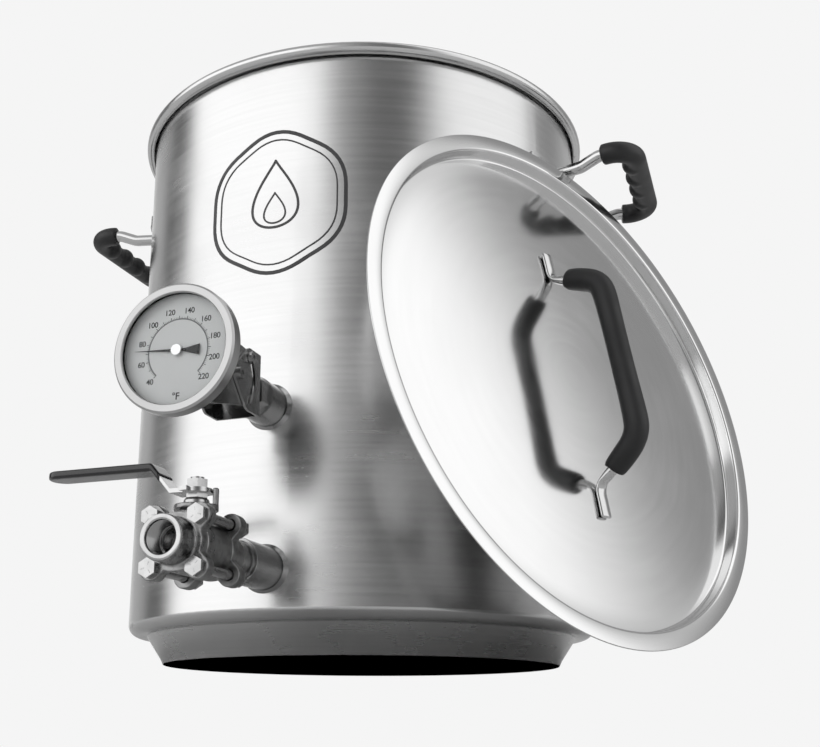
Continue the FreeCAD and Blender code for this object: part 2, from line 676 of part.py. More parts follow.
# ---- thermometer --------------------------------------------------------
def plate_outline(corners, edge):
    """A rounded plate outline, from (reach, height) corners grown by edge."""
    points = [on_dial(reach, 0, height) for reach, height in corners]
    wire = Part.makePolygon(points + points[:1])
    return Part.Face(wire.makeOffset2D(edge))


def lock_place(angle):
    """The lock screw's (reach, height) at an angle around the pivot."""
    turn = math.radians(angle)
    return PIVOT_PLACE + LOCK_RADIUS * math.cos(turn), LOCK_RADIUS * math.sin(turn)


def both_sides(shape):
    """A solid and its mirror image across the dial's middle plane."""
    return [shape, shape.mirror(Vector(0, 0, 0), RIGHT)]


def build_probe_and_fitting():
    """The threaded fitting, the probe that it seals, and the locknut."""
    collar_end = FITTING_END + COLLAR_LENGTH
    fitting = hex_bar(FITTING_FLATS, on_dial(DIAL_COUPLING_END), on_dial(FITTING_HEX_END), UP)
    fitting = fitting.fuse(cylinder(FITTING_NECK_RADIUS, on_dial(FITTING_HEX_END),
                                    on_dial(FITTING_END)))
    fitting = fitting.fuse(cylinder(PORT_RADIUS, on_dial(DIAL_COUPLING_END - FITTING_GRIP),
                                    on_dial(DIAL_COUPLING_END)))
    fitting = fitting.fuse(cylinder(COLLAR_RADIUS, on_dial(FITTING_END), on_dial(collar_end)))
    probe = cylinder(PROBE_RADIUS, on_dial(INNER_RADIUS - PROBE_INSIDE), on_dial(collar_end))
    keep("thermometer_fitting", fitting.cut(probe).removeSplitter())
    keep("thermometer_probe", probe)
    nut_start = FITTING_END + SHEET
    nut = hex_bar(LOCKNUT_FLATS, on_dial(nut_start), on_dial(nut_start + LOCKNUT), UP)
    collar = cylinder(COLLAR_RADIUS, on_dial(FITTING_END), on_dial(collar_end))
    keep("thermometer_locknut", nut.cut(collar))


def lock_slot(start, end):
    """The curved slot that the lock screw travels along as the head tilts."""
    half = SCREW_RADIUS + BODY_GAP
    way = end - start
    ends = [lock_place(LOCK_ANGLE), lock_place(LOCK_ANGLE + TILT_RANGE)]
    past_slot = 3
    tips = [start + (on_dial(reach, 0, height) - on_dial(PIVOT_PLACE)) * past_slot
            for reach, height in ends]
    slot = ring(LOCK_RADIUS + half, LOCK_RADIUS - half, start, end)
    slot = slot.common(prism([start] + tips, way))
    for reach, height in ends:
        centre = on_dial(reach, start.x, height)
        slot = slot.fuse(cylinder(half, centre, centre + way))
    return slot


def build_yoke():
    """The fixed bracket: a web on the fitting and two slotted cheeks."""
    upper = lock_place(LOCK_ANGLE)
    lower = lock_place(LOCK_ANGLE + TILT_RANGE)
    corners = [(FITTING_END, upper[1]), upper, (PIVOT_PLACE, 0), lower, (FITTING_END, lower[1])]
    start = on_dial(PIVOT_PLACE, YOKE_INNER)
    end = start + RIGHT * SHEET
    cheek = plate_outline(corners, YOKE_EDGE).extrude(RIGHT * SHEET)
    cheek.translate(RIGHT * YOKE_INNER)
    tall = upper[1] + YOKE_EDGE
    outer = YOKE_INNER + SHEET
    behind = Part.makeBox(2 * outer, 2 * YOKE_EDGE, 4 * tall,
                          on_dial(FITTING_END, -outer, -2 * tall))
    cheek = cheek.cut(behind).cut(lock_slot(start, end)).cut(cylinder(SCREW_RADIUS, start, end))
    yoke = Part.makeBox(2 * YOKE_INNER, SHEET, 2 * tall,
                        on_dial(FITTING_END + SHEET, -YOKE_INNER, -tall))
    yoke = yoke.cut(cylinder(COLLAR_RADIUS, on_dial(FITTING_END), on_dial(FITTING_END + SHEET)))
    for side in both_sides(cheek):
        yoke = yoke.fuse(side)
    keep("thermometer_yoke", yoke.removeSplitter())


def build_head_bracket():
    """The tilting bracket on the back of the case, inside the yoke."""
    back = CASE_PLACE - HEAD_EDGE
    corners = [(back, HEAD_TOP - HEAD_EDGE), (back, -HEAD_BOTTOM + HEAD_EDGE),
               (PIVOT_PLACE - HEAD_ELBOW, -HEAD_ELBOW), lock_place(LOCK_ANGLE)]
    cheek = plate_outline(corners, HEAD_EDGE).extrude(RIGHT * SHEET)
    cheek.translate(RIGHT * HEAD_INNER)
    pivot = on_dial(PIVOT_PLACE, HEAD_INNER)
    reach, height = lock_place(LOCK_ANGLE)
    lock = on_dial(reach, HEAD_INNER, height)
    cheek = cheek.cut(cylinder(SCREW_RADIUS + RUNNING_GAP, pivot, pivot + RIGHT * SHEET))
    cheek = cheek.cut(cylinder(SCREW_RADIUS, lock, lock + RIGHT * SHEET))
    bracket = Part.makeBox(2 * HEAD_INNER, SHEET, HEAD_TOP + HEAD_BOTTOM,
                           on_dial(CASE_PLACE, -HEAD_INNER, -HEAD_BOTTOM))
    bracket = bracket.cut(cylinder(BUSH_RADIUS, on_dial(CASE_PLACE - SHEET), on_dial(CASE_PLACE)))
    for side in both_sides(cheek):
        bracket = bracket.fuse(side)
    keep("thermometer_head_bracket", bracket.removeSplitter())


def build_bracket_screws():
    """Two pivot screws in the yoke and two lock screws in the head."""
    cheek_out = YOKE_INNER + SHEET
    reach, height = lock_place(LOCK_ANGLE)
    for kind, place, head_gap, nut_gap in (
            ("pivot", (PIVOT_PLACE, 0), 0, BODY_GAP),
            ("lock", (reach, height), BODY_GAP, 0)):
        centre = on_dial(place[0], 0, place[1])
        head_start = centre + RIGHT * (cheek_out + head_gap)
        nut_start = centre + RIGHT * (HEAD_INNER - nut_gap)
        tail = nut_start - RIGHT * (SCREW_NUT + SCREW_TAIL)
        shank = cylinder(SCREW_RADIUS, tail, head_start)
        head = cylinder(SCREW_HEAD_RADIUS, head_start, head_start + RIGHT * SCREW_HEAD)
        socket = hex_bar(SCREW_SOCKET_FLATS, head_start + RIGHT * (SCREW_HEAD / 2),
                         head_start + RIGHT * SCREW_HEAD, UP)
        screw = shank.fuse(head).cut(socket)
        nut = hex_bar(SCREW_NUT_FLATS, nut_start - RIGHT * SCREW_NUT, nut_start, UP)
        keep("thermometer_" + kind + "_screws", Part.makeCompound(both_sides(screw)))
        keep("thermometer_" + kind + "_nuts", Part.makeCompound(both_sides(nut.cut(shank))))


def build_bellows():
    """The flexible cover between the fitting and the head."""
    start = FITTING_END + COLLAR_LENGTH
    length = CASE_PLACE - SHEET - start
    folds = round(length / BELLOWS_PITCH)
    points = [(BELLOWS_BORE, 0)]
    for fold in range(folds):
        points.append((BELLOWS_VALLEY, length * fold / folds))
        points.append((BELLOWS_RIDGE, length * (fold + 0.5) / folds))
    points += [(BELLOWS_VALLEY, length), (BELLOWS_BORE, length)]
    keep("thermometer_bellows", revolve(points, on_dial(start), OUT, RIGHT))


def build_case():
    """The case, its bush and dial, and the glazed front held by the bezel."""
    base = on_dial(CASE_PLACE)
    ledge = DIAL_LEDGE + CASE_WALL
    case = revolve([(BUSH_RADIUS, 0), (CASE_BACK_RADIUS, 0), (CASE_RADIUS, CASE_TAPER_DEPTH),
                    (CASE_RADIUS, CASE_DEPTH), (CASE_INNER, CASE_DEPTH), (CASE_INNER, ledge),
                    (LEDGE_INNER, ledge), (LEDGE_INNER, DIAL_LEDGE),
                    (CASE_TAPER_INNER + DIAL_LEDGE - CASE_WALL, DIAL_LEDGE),
                    (CASE_TAPER_INNER, CASE_WALL), (BUSH_RADIUS, CASE_WALL)], base, OUT, RIGHT)
    keep("thermometer_case", case)
    keep("thermometer_bush", ring(BUSH_RADIUS, SPINDLE_RADIUS + RUNNING_GAP, base,
                                  base + OUT * BUSH_LENGTH))
    dial_front = ledge + DIAL_PLATE
    keep("thermometer_dial", ring(CASE_INNER, SPINDLE_RADIUS + BODY_GAP, base + OUT * ledge,
                                  base + OUT * dial_front))
    lens_back = CASE_DEPTH + GASKET
    lens_front = lens_back + LENS
    keep("thermometer_gasket", ring(CASE_RADIUS, BEZEL_OPENING, base + OUT * CASE_DEPTH,
                                    base + OUT * lens_back))
    keep("thermometer_lens", cylinder(CASE_RADIUS, base + OUT * lens_back,
                                      base + OUT * lens_front))
    front = lens_front + BEZEL_LIP
    skirt = lens_front - BEZEL_SKIRT
    bezel = revolve([(CASE_RADIUS, lens_front), (CASE_RADIUS, skirt), (BEZEL_RADIUS, skirt),
                     (BEZEL_RADIUS, front - BEZEL_ROUND), (BEZEL_RADIUS - BEZEL_ROUND, front),
                     (BEZEL_OPENING + BEZEL_ROUND / 2, front),
                     (BEZEL_OPENING, front - BEZEL_ROUND / 2), (BEZEL_OPENING, lens_front)],
                    base, OUT, RIGHT)
    keep("thermometer_bezel", bezel)
    return dial_front


def build_pointer(dial_front):
    """The needle with its flag-shaped counterweight, hub and spindle."""
    low = dial_front + POINTER_LIFT
    tail_half = POINTER_TAIL_WIDTH / 2
    outline = [(POINTER_LENGTH, 0), (0, POINTER_WAIST), (-HUB_RADIUS, POINTER_NECK),
               (-POINTER_TAIL, tail_half), (-POINTER_TAIL, -tail_half),
               (-HUB_RADIUS, -POINTER_NECK), (0, -POINTER_WAIST)]
    centre = on_dial(CASE_PLACE + low)
    points = [centre + RIGHT * along + UP * side for along, side in outline]
    needle = prism(points, OUT * POINTER_THICK)
    needle = needle.fuse(cylinder(POINTER_BOSS_RADIUS, centre, centre + OUT * POINTER_THICK))
    needle = needle.cut(cylinder(SPINDLE_RADIUS, centre, centre + OUT * POINTER_THICK))
    needle.rotate(centre, OUT, POINTER_REST_DEG)
    keep("thermometer_pointer", needle)
    hub_low = centre + OUT * POINTER_THICK
    hub_high = hub_low + OUT * HUB_THICK
    keep("thermometer_hub", ring(HUB_RADIUS, SPINDLE_RADIUS, hub_low, hub_high))
    keep("thermometer_spindle", cylinder(SPINDLE_RADIUS, on_dial(CASE_PLACE + CASE_WALL),
                                         hub_high))


def build_thermometer():
    """The fitting, the tilting bracket and the dial head."""
    build_coupling("thermometer_coupling", DIAL_HEIGHT, DIAL_COUPLING_REACH)
    build_probe_and_fitting()
    build_yoke()
    build_head_bracket()
    build_bracket_screws()
    build_bellows()
    build_pointer(build_case())


# ---- side handles -------------------------------------------------------
def around(angle):
    """The outward direction at an angle from +X, counted towards the back."""
    turn = math.radians(angle)
    return Vector(math.cos(turn), math.sin(turn), 0)


def rivet_angles():
    """Where one handle's rivets sit, two beside each end of its rod."""
    return [end * (HANDLE_SPREAD_DEG + step)
            for end in (-1, 1) for step in (-RIVET_OFFSET_DEG, RIVET_OFFSET_DEG)]


def handle_band(radius):
    """A short cylinder about the kettle's axis, at the height of the handles."""
    tall = UP * (2 * STRAP_HEIGHT)
    return cylinder(radius, UP * HANDLE_HEIGHT - tall, UP * HANDLE_HEIGHT + tall)


def rivet_shank(angle):
    """The part of a rivet that passes through the strap and the wall."""
    centre = UP * HANDLE_HEIGHT
    return cylinder(RIVET_RADIUS, centre + around(angle) * (INNER_RADIUS - RIVET_FOOT),
                    centre + around(angle) * (BODY_RADIUS + STRAP_THICK + RIVET_HEAD / 4))


def build_rivet(angle):
    """A dome-headed rivet, set flat inside the kettle."""
    way = around(angle)
    centre = UP * HANDLE_HEIGHT
    face = BODY_RADIUS + STRAP_THICK
    dome_radius = (RIVET_HEAD_RADIUS ** 2 + RIVET_HEAD ** 2) / (2 * RIVET_HEAD)
    dome = Part.makeSphere(dome_radius, centre + way * (face + RIVET_HEAD - dome_radius))
    dome = dome.cut(handle_band(face))
    foot = cylinder(RIVET_HEAD_RADIUS, centre + way * (INNER_RADIUS - RIVET_FOOT),
                    centre + way * BODY_RADIUS)
    foot = foot.common(handle_band(INNER_RADIUS))
    return rivet_shank(angle).fuse(dome).fuse(foot).removeSplitter()


def build_strap(end):
    """One curved strap, drilled for its two rivets."""
    middle = end * HANDLE_SPREAD_DEG
    start = around(middle - STRAP_HALF_DEG)
    half = UP * (STRAP_HEIGHT / 2)
    inner = start * BODY_RADIUS + UP * HANDLE_HEIGHT
    outer = start * (BODY_RADIUS + STRAP_THICK) + UP * HANDLE_HEIGHT
    outline = Part.makePolygon([inner - half, outer - half, outer + half, inner + half,
                                inner - half])
    slab = Part.Face(outline).revolve(Vector(0, 0, 0), UP, 2 * STRAP_HALF_DEG)
    corners = [edge for edge in slab.Edges if abs(edge.Length - STRAP_THICK) < SAME_LENGTH]
    strap = slab.makeFillet(STRAP_CORNER, corners)
    for step in (-RIVET_OFFSET_DEG, RIVET_OFFSET_DEG):
        strap = strap.cut(rivet_shank(middle + step))
    return strap


def handle_point(angle, reach, rise):
    """A point of the rod by its angle, distance from the wall and rise."""
    return around(angle) * (BODY_RADIUS + reach) + UP * (HANDLE_HEIGHT + rise)


def build_handle_rod(corner_reach):
    """The bent rod, from one strap round to the other."""
    stations = [(STRAP_THICK / 2, 0), (HANDLE_RISE_START, 0), (HANDLE_RISE_END, HANDLE_RISE),
                (corner_reach, HANDLE_RISE)]
    front = [handle_point(-HANDLE_SPREAD_DEG, reach, rise) for reach, rise in stations]
    back = [handle_point(HANDLE_SPREAD_DEG, reach, rise) for reach, rise in reversed(stations)]
    bends = [HANDLE_BEND, HANDLE_BEND, HANDLE_CORNER, HANDLE_CORNER, HANDLE_BEND, HANDLE_BEND]
    path = rounded_path(front + back, bends)
    rod = pipe(path, HANDLE_ROD_RADIUS, front[0], around(-HANDLE_SPREAD_DEG))
    return rod.cut(handle_band(BODY_RADIUS + STRAP_THICK))


def build_handle_grip(corner_reach, rod):
    """The moulded grip, with a ridge between each pair of fingers."""
    reaches = (HANDLE_GRIP_START, corner_reach)
    front = [handle_point(-HANDLE_SPREAD_DEG, reach, HANDLE_RISE) for reach in reaches]
    back = [handle_point(HANDLE_SPREAD_DEG, reach, HANDLE_RISE) for reach in reversed(reaches)]
    path = rounded_path(front + back, [HANDLE_CORNER, HANDLE_CORNER])
    grip = pipe(path, HANDLE_GRIP_RADIUS, front[0], around(-HANDLE_SPREAD_DEG))
    middle = BODY_RADIUS + HANDLE_REACH - FINGER_RIDGE_SHIFT
    for ridge in range(FINGER_RIDGES):
        offset = (ridge - (FINGER_RIDGES - 1) / 2) * FINGER_PITCH
        centre = Vector(middle, offset, HANDLE_HEIGHT + HANDLE_RISE)
        grip = grip.fuse(Part.makeSphere(FINGER_RIDGE_RADIUS, centre, Vector(0, 1, 0)))
    return grip.cut(rod)


def build_side_handles():
    """A riveted, rubber-gripped handle on each side of the kettle."""
    slant = math.cos(math.radians(HANDLE_SPREAD_DEG))
    corner_reach = (BODY_RADIUS + HANDLE_REACH) / slant - BODY_RADIUS
    rod = build_handle_rod(corner_reach)
    pieces = {
        "rod": rod,
        "grip": build_handle_grip(corner_reach, rod),
        "rivets": Part.makeCompound([build_rivet(angle) for angle in rivet_angles()]),
        "strap_front": build_strap(-1),
        "strap_rear": build_strap(1),
    }
    for name, shape in pieces.items():
        keep("right_handle_" + name, shape)
        keep("left_handle_" + name, shape.mirror(Vector(0, 0, 0), RIGHT))


# ---- lid ----------------------------------------------------------------
def lid_dome_radius():
    """The sphere radius of the lid's slightly domed middle."""
    return (LID_CHANNEL_INNER ** 2 + LID_DOME_RISE ** 2) / (2 * LID_DOME_RISE)


def lid_dome_height(radius):
    """The height of the domed panel below the brim, at a radius."""
    sphere = lid_dome_radius()
    drop = sphere - math.sqrt(sphere ** 2 - radius ** 2)
    return -LID_RECESS_DEPTH + LID_DOME_RISE - drop


def lid_profile():
    """The pressed lid's section: domed panel, channel, recess wall, brim."""
    bend = math.sqrt(0.5)
    low = -LID_RECESS_DEPTH
    wall = LID_RECESS_RADIUS
    edge_in = Vector(wall - LID_ROUND, 0, low + LID_ROUND)
    edge_out = Vector(wall + LID_ROUND, 0, -LID_ROUND)
    in_way = Vector(bend, 0, -bend)
    out_way = Vector(-bend, 0, bend)
    half = LID_CHANNEL_INNER / 2

    def layer(drop):
        """One face of the sheet, drop below the upper face."""
        inner = LID_ROUND + drop
        outer = LID_ROUND - drop
        down = UP * drop
        centre = Vector(0, 0, lid_dome_height(0)) - down
        panel = Vector(half, 0, lid_dome_height(half)) - down
        channel = Vector(LID_CHANNEL_INNER, 0, low) - down
        a = edge_in - UP * inner
        b = edge_in + RIGHT * inner
        c = edge_out - RIGHT * outer
        d = edge_out + UP * outer
        e = Vector(LID_RADIUS, 0, -drop)
        return [Part.Arc(centre, panel, channel).toShape(), Part.makeLine(channel, a),
                Part.Arc(a, edge_in + in_way * inner, b).toShape(), Part.makeLine(b, c),
                Part.Arc(c, edge_out + out_way * outer, d).toShape(), Part.makeLine(d, e)]

    top = layer(0.0)
    bottom = layer(LID_SHEET)
    ends = [Part.makeLine(Vector(LID_RADIUS, 0, 0), Vector(LID_RADIUS, 0, -LID_SHEET)),
            Part.makeLine(Vector(0, 0, lid_dome_height(0)),
                          Vector(0, 0, lid_dome_height(0) - LID_SHEET))]
    return Part.Wire(Part.__sortEdges__(top + bottom + ends))


def lid_placement():
    """Standing on the floor at its azimuth, leaning on the kettle's wall."""
    heading = math.radians(LID_AZIMUTH_DEG)
    tilt = math.radians(LID_TILT_DEG)
    away = Vector(math.sin(heading), -math.cos(heading), 0)
    normal = away * math.cos(tilt) + UP * math.sin(tilt)
    across = Vector(math.cos(heading), math.sin(heading), 0)
    slope = normal.cross(across)
    back_edge = (LID_RECESS_RADIUS + LID_SHEET) * math.sin(tilt)
    back_face = (LID_RECESS_DEPTH + LID_SHEET) * math.cos(tilt)
    centre = away * (BODY_RADIUS + LID_WALL_GAP + back_edge + back_face)
    centre += UP * (LID_RADIUS * math.cos(tilt) + LID_SHEET * math.sin(tilt))
    return FreeCAD.Placement(FreeCAD.Matrix(
        across.x, slope.x, normal.x, centre.x,
        across.y, slope.y, normal.y, centre.y,
        across.z, slope.z, normal.z, centre.z,
        0, 0, 0, 1))


def lid_under_panel():
    """The space under the lid's domed panel, out to the channel."""
    half = LID_CHANNEL_INNER / 2
    centre = Vector(0, 0, lid_dome_height(0))
    edge = Vector(LID_CHANNEL_INNER, 0, -LID_RECESS_DEPTH)
    below = -LID_RECESS_DEPTH - LID_FOOT_WIDTH
    wire = Part.Wire([
        Part.Arc(centre, Vector(half, 0, lid_dome_height(half)), edge).toShape(),
        Part.makeLine(edge, Vector(LID_CHANNEL_INNER, 0, below)),
        Part.makeLine(Vector(LID_CHANNEL_INNER, 0, below), Vector(0, 0, below)),
        Part.makeLine(Vector(0, 0, below), centre),
    ])
    return Part.Face(wire).revolve(Vector(0, 0, 0), UP, 360)


def build_lid():
    """The pressed lid with its spot-welded bent handle and soft grip."""
    pan = Part.Face(lid_profile()).revolve(Vector(0, 0, 0), UP, 360)
    foot_height = lid_dome_height(LID_FOOT_BEND) + LID_ROD_RADIUS
    top = lid_dome_height(0) + LID_HANDLE_RISE
    bend = Vector(0, LID_FOOT_BEND, foot_height)
    corner = Vector(0, LID_HANDLE_HALF, top)
    heel = bend + Vector(0, LID_HEEL, 0)
    mirror = [Vector(0, -point.y, point.z) for point in (corner, bend, heel)]
    path = rounded_path([heel, bend, corner] + mirror,
                        [LID_BEND, LID_HANDLE_CORNER, LID_HANDLE_CORNER, LID_BEND])
    rod = pipe(path, LID_ROD_RADIUS, heel, Vector(0, -1, 0))
    length = LID_FOOT_END - LID_FOOT_BEND + LID_FOOT_WIDTH / 2
    for end in (1, -1):
        start = min(end * (LID_FOOT_END - LID_FOOT_WIDTH / 2), end * (LID_FOOT_END - length))
        floor = lid_dome_height(LID_FOOT_END) - LID_SHEET
        thick = LID_FOOT_THICK + foot_height - LID_ROD_RADIUS - floor
        foot = Part.makeBox(LID_FOOT_WIDTH, length - LID_FOOT_WIDTH / 2, thick,
                            Vector(-LID_FOOT_WIDTH / 2, start, floor))
        centre = Vector(0, end * (LID_FOOT_END - LID_FOOT_WIDTH / 2), floor)
        rod = rod.fuse(foot).fuse(cylinder(LID_FOOT_WIDTH / 2, centre, centre + UP * thick))
    rod = rod.cut(lid_under_panel()).removeSplitter()
    start = bend + (corner - bend) * LID_GRIP_START
    finish = Vector(0, -start.y, start.z)
    grip_path = rounded_path([start, corner, mirror[0], finish],
                             [LID_HANDLE_CORNER, LID_HANDLE_CORNER])
    grip = pipe(grip_path, LID_GRIP_RADIUS, start, corner - bend).cut(rod)
    place = lid_placement()
    for name, shape in (("lid_pan", pan), ("lid_handle_rod", rod), ("lid_handle_grip", grip)):
        shape.Placement = place
        keep(name, shape)


build_kettle()
build_base()
build_valve()
build_thermometer()
build_side_handles()
build_lid()

os.makedirs("parts", exist_ok=True)
for node_name, node_shape in NODES.items():
    node_shape.exportStep("parts/" + node_name + ".step")
    if not node_shape.isValid():
        print("not valid:", node_name)
print(len(NODES), "nodes")
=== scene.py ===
import logging
import math
from dataclasses import dataclass, field
from enum import Enum
from typing import Iterable, Sequence

import bmesh
import bpy
from mathutils import Matrix, Vector


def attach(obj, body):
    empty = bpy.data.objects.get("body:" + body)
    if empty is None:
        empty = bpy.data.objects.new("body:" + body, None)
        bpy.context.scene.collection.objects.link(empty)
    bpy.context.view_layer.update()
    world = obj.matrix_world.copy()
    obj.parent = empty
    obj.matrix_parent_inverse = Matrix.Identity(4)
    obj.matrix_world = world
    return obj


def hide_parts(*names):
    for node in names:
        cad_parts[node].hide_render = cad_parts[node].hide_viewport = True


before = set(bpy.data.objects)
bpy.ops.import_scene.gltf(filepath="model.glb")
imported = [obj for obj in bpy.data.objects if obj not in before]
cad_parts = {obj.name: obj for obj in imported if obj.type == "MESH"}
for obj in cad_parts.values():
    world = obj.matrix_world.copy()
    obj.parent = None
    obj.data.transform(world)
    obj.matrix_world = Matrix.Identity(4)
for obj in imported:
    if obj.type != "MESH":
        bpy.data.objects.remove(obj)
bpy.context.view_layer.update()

# A stainless brew kettle with a ball valve, a dial thermometer and a lid that leans
# against its wall. Metres, +Z up, origin on the kettle's axis at the floor, valve to -Y.

LOG = logging.getLogger("kettle")
MM = 0.001
DEGREES = math.degrees(1.0)
PANEL_TOP_SOFTNESS = 10.0
UP = Vector((0.0, 0.0, 1.0))
OUT = Vector((0.0, -1.0, 0.0))
RIGHT = Vector((1.0, 0.0, 0.0))
Socket = bpy.types.NodeSocket
Node = bpy.types.Node
Point = tuple[float, float]


class Body(Enum):
    """The moving bodies that the pieces ride on."""

    KETTLE = "kettle"
    LEVER = "lever"
    HEAD = "thermometer_head"
    POINTER = "pointer"
    LID = "lid"


class Grain(Enum):
    """How the surface lines of a metal run."""

    AROUND = "round the kettle's axis"
    SPUN = "in rings on the lid"
    TURNED = "in rings round a front-facing axis"
    CAST = "blasted casting"
    ALONG = "drawn along the piece"


# ---- node trees --------------------------------------------------------------
class Graph:
    """A node tree while it is being put together."""

    def __init__(self, tree: bpy.types.NodeTree) -> None:
        """Takes a tree in hand."""
        self.tree = tree

    def node(self, kind: str, **settings: object) -> Node:
        """Adds a node and sets its properties.

        Args:
            kind: The node's type name.
            settings: Property names and values.

        Returns:
            The new node.
        """
        made = self.tree.nodes.new(kind)
        for key, value in settings.items():
            setattr(made, key, value)
        return made

    def link(self, source: Socket, target: Socket) -> None:
        """Joins two sockets."""
        self.tree.links.new(source, target)

    def feed(self, sockets: Iterable[Socket], values: Iterable[Socket | float]) -> None:
        """Links or sets inputs in turn.

        Args:
            sockets: The inputs.
            values: A socket or a number for each.
        """
        for socket, value in zip(sockets, values):
            if isinstance(value, (int, float)):
                socket.default_value = value
            else:
                self.link(value, socket)

    def math(self, operation: str, *values: Socket | float) -> Socket:
        """Adds a Math node.

        Args:
            operation: The Math node's operation.
            values: Its inputs, in order.

        Returns:
            The node's output socket.
        """
        made = self.node("ShaderNodeMath", operation=operation)
        self.feed(made.inputs, values)
        return made.outputs[0]

    def vector(self, *values: Socket | float) -> Socket:
        """Joins three numbers into a vector.

        Args:
            values: The three numbers.

        Returns:
            The vector socket.
        """
        made = self.node("ShaderNodeCombineXYZ")
        self.feed(made.inputs, values)
        return made.outputs[0]

    def parts(self, place: Socket) -> Sequence[Socket]:
        """Splits a vector.

        Args:
            place: The vector.

        Returns:
            Its three numbers.
        """
        made = self.node("ShaderNodeSeparateXYZ")
        self.link(place, made.inputs[0])
        return made.outputs

    def ranged(
        self,
        value: Socket,
        low: Socket | float,
        high: Socket | float,
        kind: str = "LINEAR",
    ) -> Socket:
        """Maps the span between two values onto 0 to 1.

        Args:
            value: The value.
            low: Where the result is 0.
            high: Where the result is 1.
            kind: How it changes in between.

        Returns:
            The mapped socket.
        """
        made = self.node("ShaderNodeMapRange", interpolation_type=kind)
        sockets = [made.inputs[label] for label in ("Value", "From Min", "From Max")]
        self.feed(sockets, (value, low, high))
        return made.outputs[0]


class ShaderGroup(Graph):
    """A shader node group that is built once and placed in many materials."""

    def __init__(self, name: str, inputs: dict[str, float], outputs: Sequence[str]) -> None:
        """Starts an empty group.

        Args:
            name: The group's name.
            inputs: Float inputs and their usual values.
            outputs: Names of the float outputs.
        """
        super().__init__(bpy.data.node_groups.new(name, "ShaderNodeTree"))
        face = self.tree.interface
        face.new_socket("Place", in_out="INPUT", socket_type="NodeSocketVector").hide_value = True
        for label, value in inputs.items():
            face.new_socket(label, in_out="INPUT", socket_type="NodeSocketFloat").default_value = value
        for label in outputs:
            face.new_socket(label, in_out="OUTPUT", socket_type="NodeSocketFloat")
        self.given = self.node("NodeGroupInput").outputs
        self.results = self.node("NodeGroupOutput").inputs

    def noise(self, place: Socket, scale: Socket | float, detail: float = 2.0) -> Socket:
        """Adds a noise texture.

        Args:
            place: Where the pattern is read.
            scale: The pattern's scale.
            detail: How many octaves it has.

        Returns:
            The noise's value socket.
        """
        made = self.node("ShaderNodeTexNoise")
        sockets = [made.inputs[label] for label in ("Vector", "Scale", "Detail")]
        self.feed(sockets, (place, scale, detail))
        return made.outputs[0]


def line_grain_group() -> ShaderGroup:
    """Fine parallel lines, from stretched noise.

    Returns:
        The group, which gives a bump height and a tone.
    """
    group = ShaderGroup("LineGrain", {"Along": 6.0, "Across": 1500.0}, ("Height", "Tone"))
    parts = group.parts(group.given["Place"])
    flat = [group.math("MULTIPLY", part, group.given["Along"]) for part in parts[:2]]
    for label, share, detail in (("Height", 1.0, 3.0), ("Tone", 0.21, 2.0)):
        fine = group.math("MULTIPLY", group.given["Across"], share)
        place = group.vector(*flat, group.math("MULTIPLY", parts[2], fine))
        group.link(group.noise(place, 1.0, detail), group.results[label])
    return group


def handling_group() -> ShaderGroup:
    """Smudges from handling.

    Returns:
        The group, which gives a broad cloudy mask.
    """
    group = ShaderGroup("Handling", {"Size": 14.0}, ("Cloud",))
    cloud = group.noise(group.given["Place"], group.given["Size"], 4.0)
    group.link(group.ranged(cloud, 0.4, 0.68, "SMOOTHSTEP"), group.results["Cloud"])
    return group


def casting_group() -> ShaderGroup:
    """A blasted casting's skin: fine grit over soft waves.

    Returns:
        The group, which gives a bump height and a mask of the hollows that paints shade: the colour is
        darker where the waves are low.
    """
    group = ShaderGroup("CastingSkin", {"Grit": 1800.0}, ("Height", "Hollow"))
    size = group.given["Grit"]
    grit = group.noise(group.given["Place"], size, 2.0)
    wave = group.noise(group.given["Place"], group.math("MULTIPLY", size, 0.14), 3.0)
    group.link(group.math("ADD", group.math("MULTIPLY", grit, 0.55), wave), group.results["Height"])
    # Painted shade: this mask darkens the casting's colour in the hollows of its waves.
    group.link(group.ranged(wave, 0.36, 0.62), group.results["Hollow"])
    return group


def moulding_group() -> ShaderGroup:
    """A moulded soft skin.

    Returns:
        The group, which gives a pebbled height and a faint bloom.
    """
    group = ShaderGroup("MouldedSkin", {"Pebble": 1400.0}, ("Height", "Bloom"))
    place = group.given["Place"]
    size = group.given["Pebble"]
    cells = group.node("ShaderNodeTexVoronoi", feature="SMOOTH_F1")
    group.feed((cells.inputs["Vector"], cells.inputs["Scale"]), (place, size))
    group.link(cells.outputs["Distance"], group.results["Height"])
    group.link(group.noise(place, group.math("MULTIPLY", size, 0.05), 4.0), group.results["Bloom"])
    return group


def soft_panel_group() -> ShaderGroup:
    """A soft-edged studio panel: the light behind it, or its own between its edges.

    Returns:
        The group, which gives the light seen in a direction.
    """
    sizes = {"Behind": 0.5, "Centre": 0.0, "Inner": 10.0, "Outer": 20.0, "Top": 90.0, "Light": 1.0}
    group = ShaderGroup("SoftPanel", sizes, ("Light",))
    given = group.given
    side, front, rise = group.parts(given["Place"])
    turn = group.math("ARCTAN2", side, group.math("MULTIPLY", front, -1.0))
    turn = group.math("MULTIPLY", turn, DEGREES)
    rise = group.math("MULTIPLY", group.math("ARCSINE", rise), DEGREES)
    distance = group.math("ABSOLUTE", group.math("SUBTRACT", turn, given["Centre"]))
    beside = group.ranged(distance, given["Outer"], given["Inner"], "SMOOTHSTEP")
    past_top = group.math("ADD", given["Top"], PANEL_TOP_SOFTNESS)
    below = group.ranged(rise, past_top, given["Top"], "SMOOTHSTEP")
    change = group.math("SUBTRACT", given["Light"], given["Behind"])
    change = group.math("MULTIPLY", change, group.math("MULTIPLY", beside, below))
    group.link(group.math("ADD", given["Behind"], change), group.results["Light"])
    return group


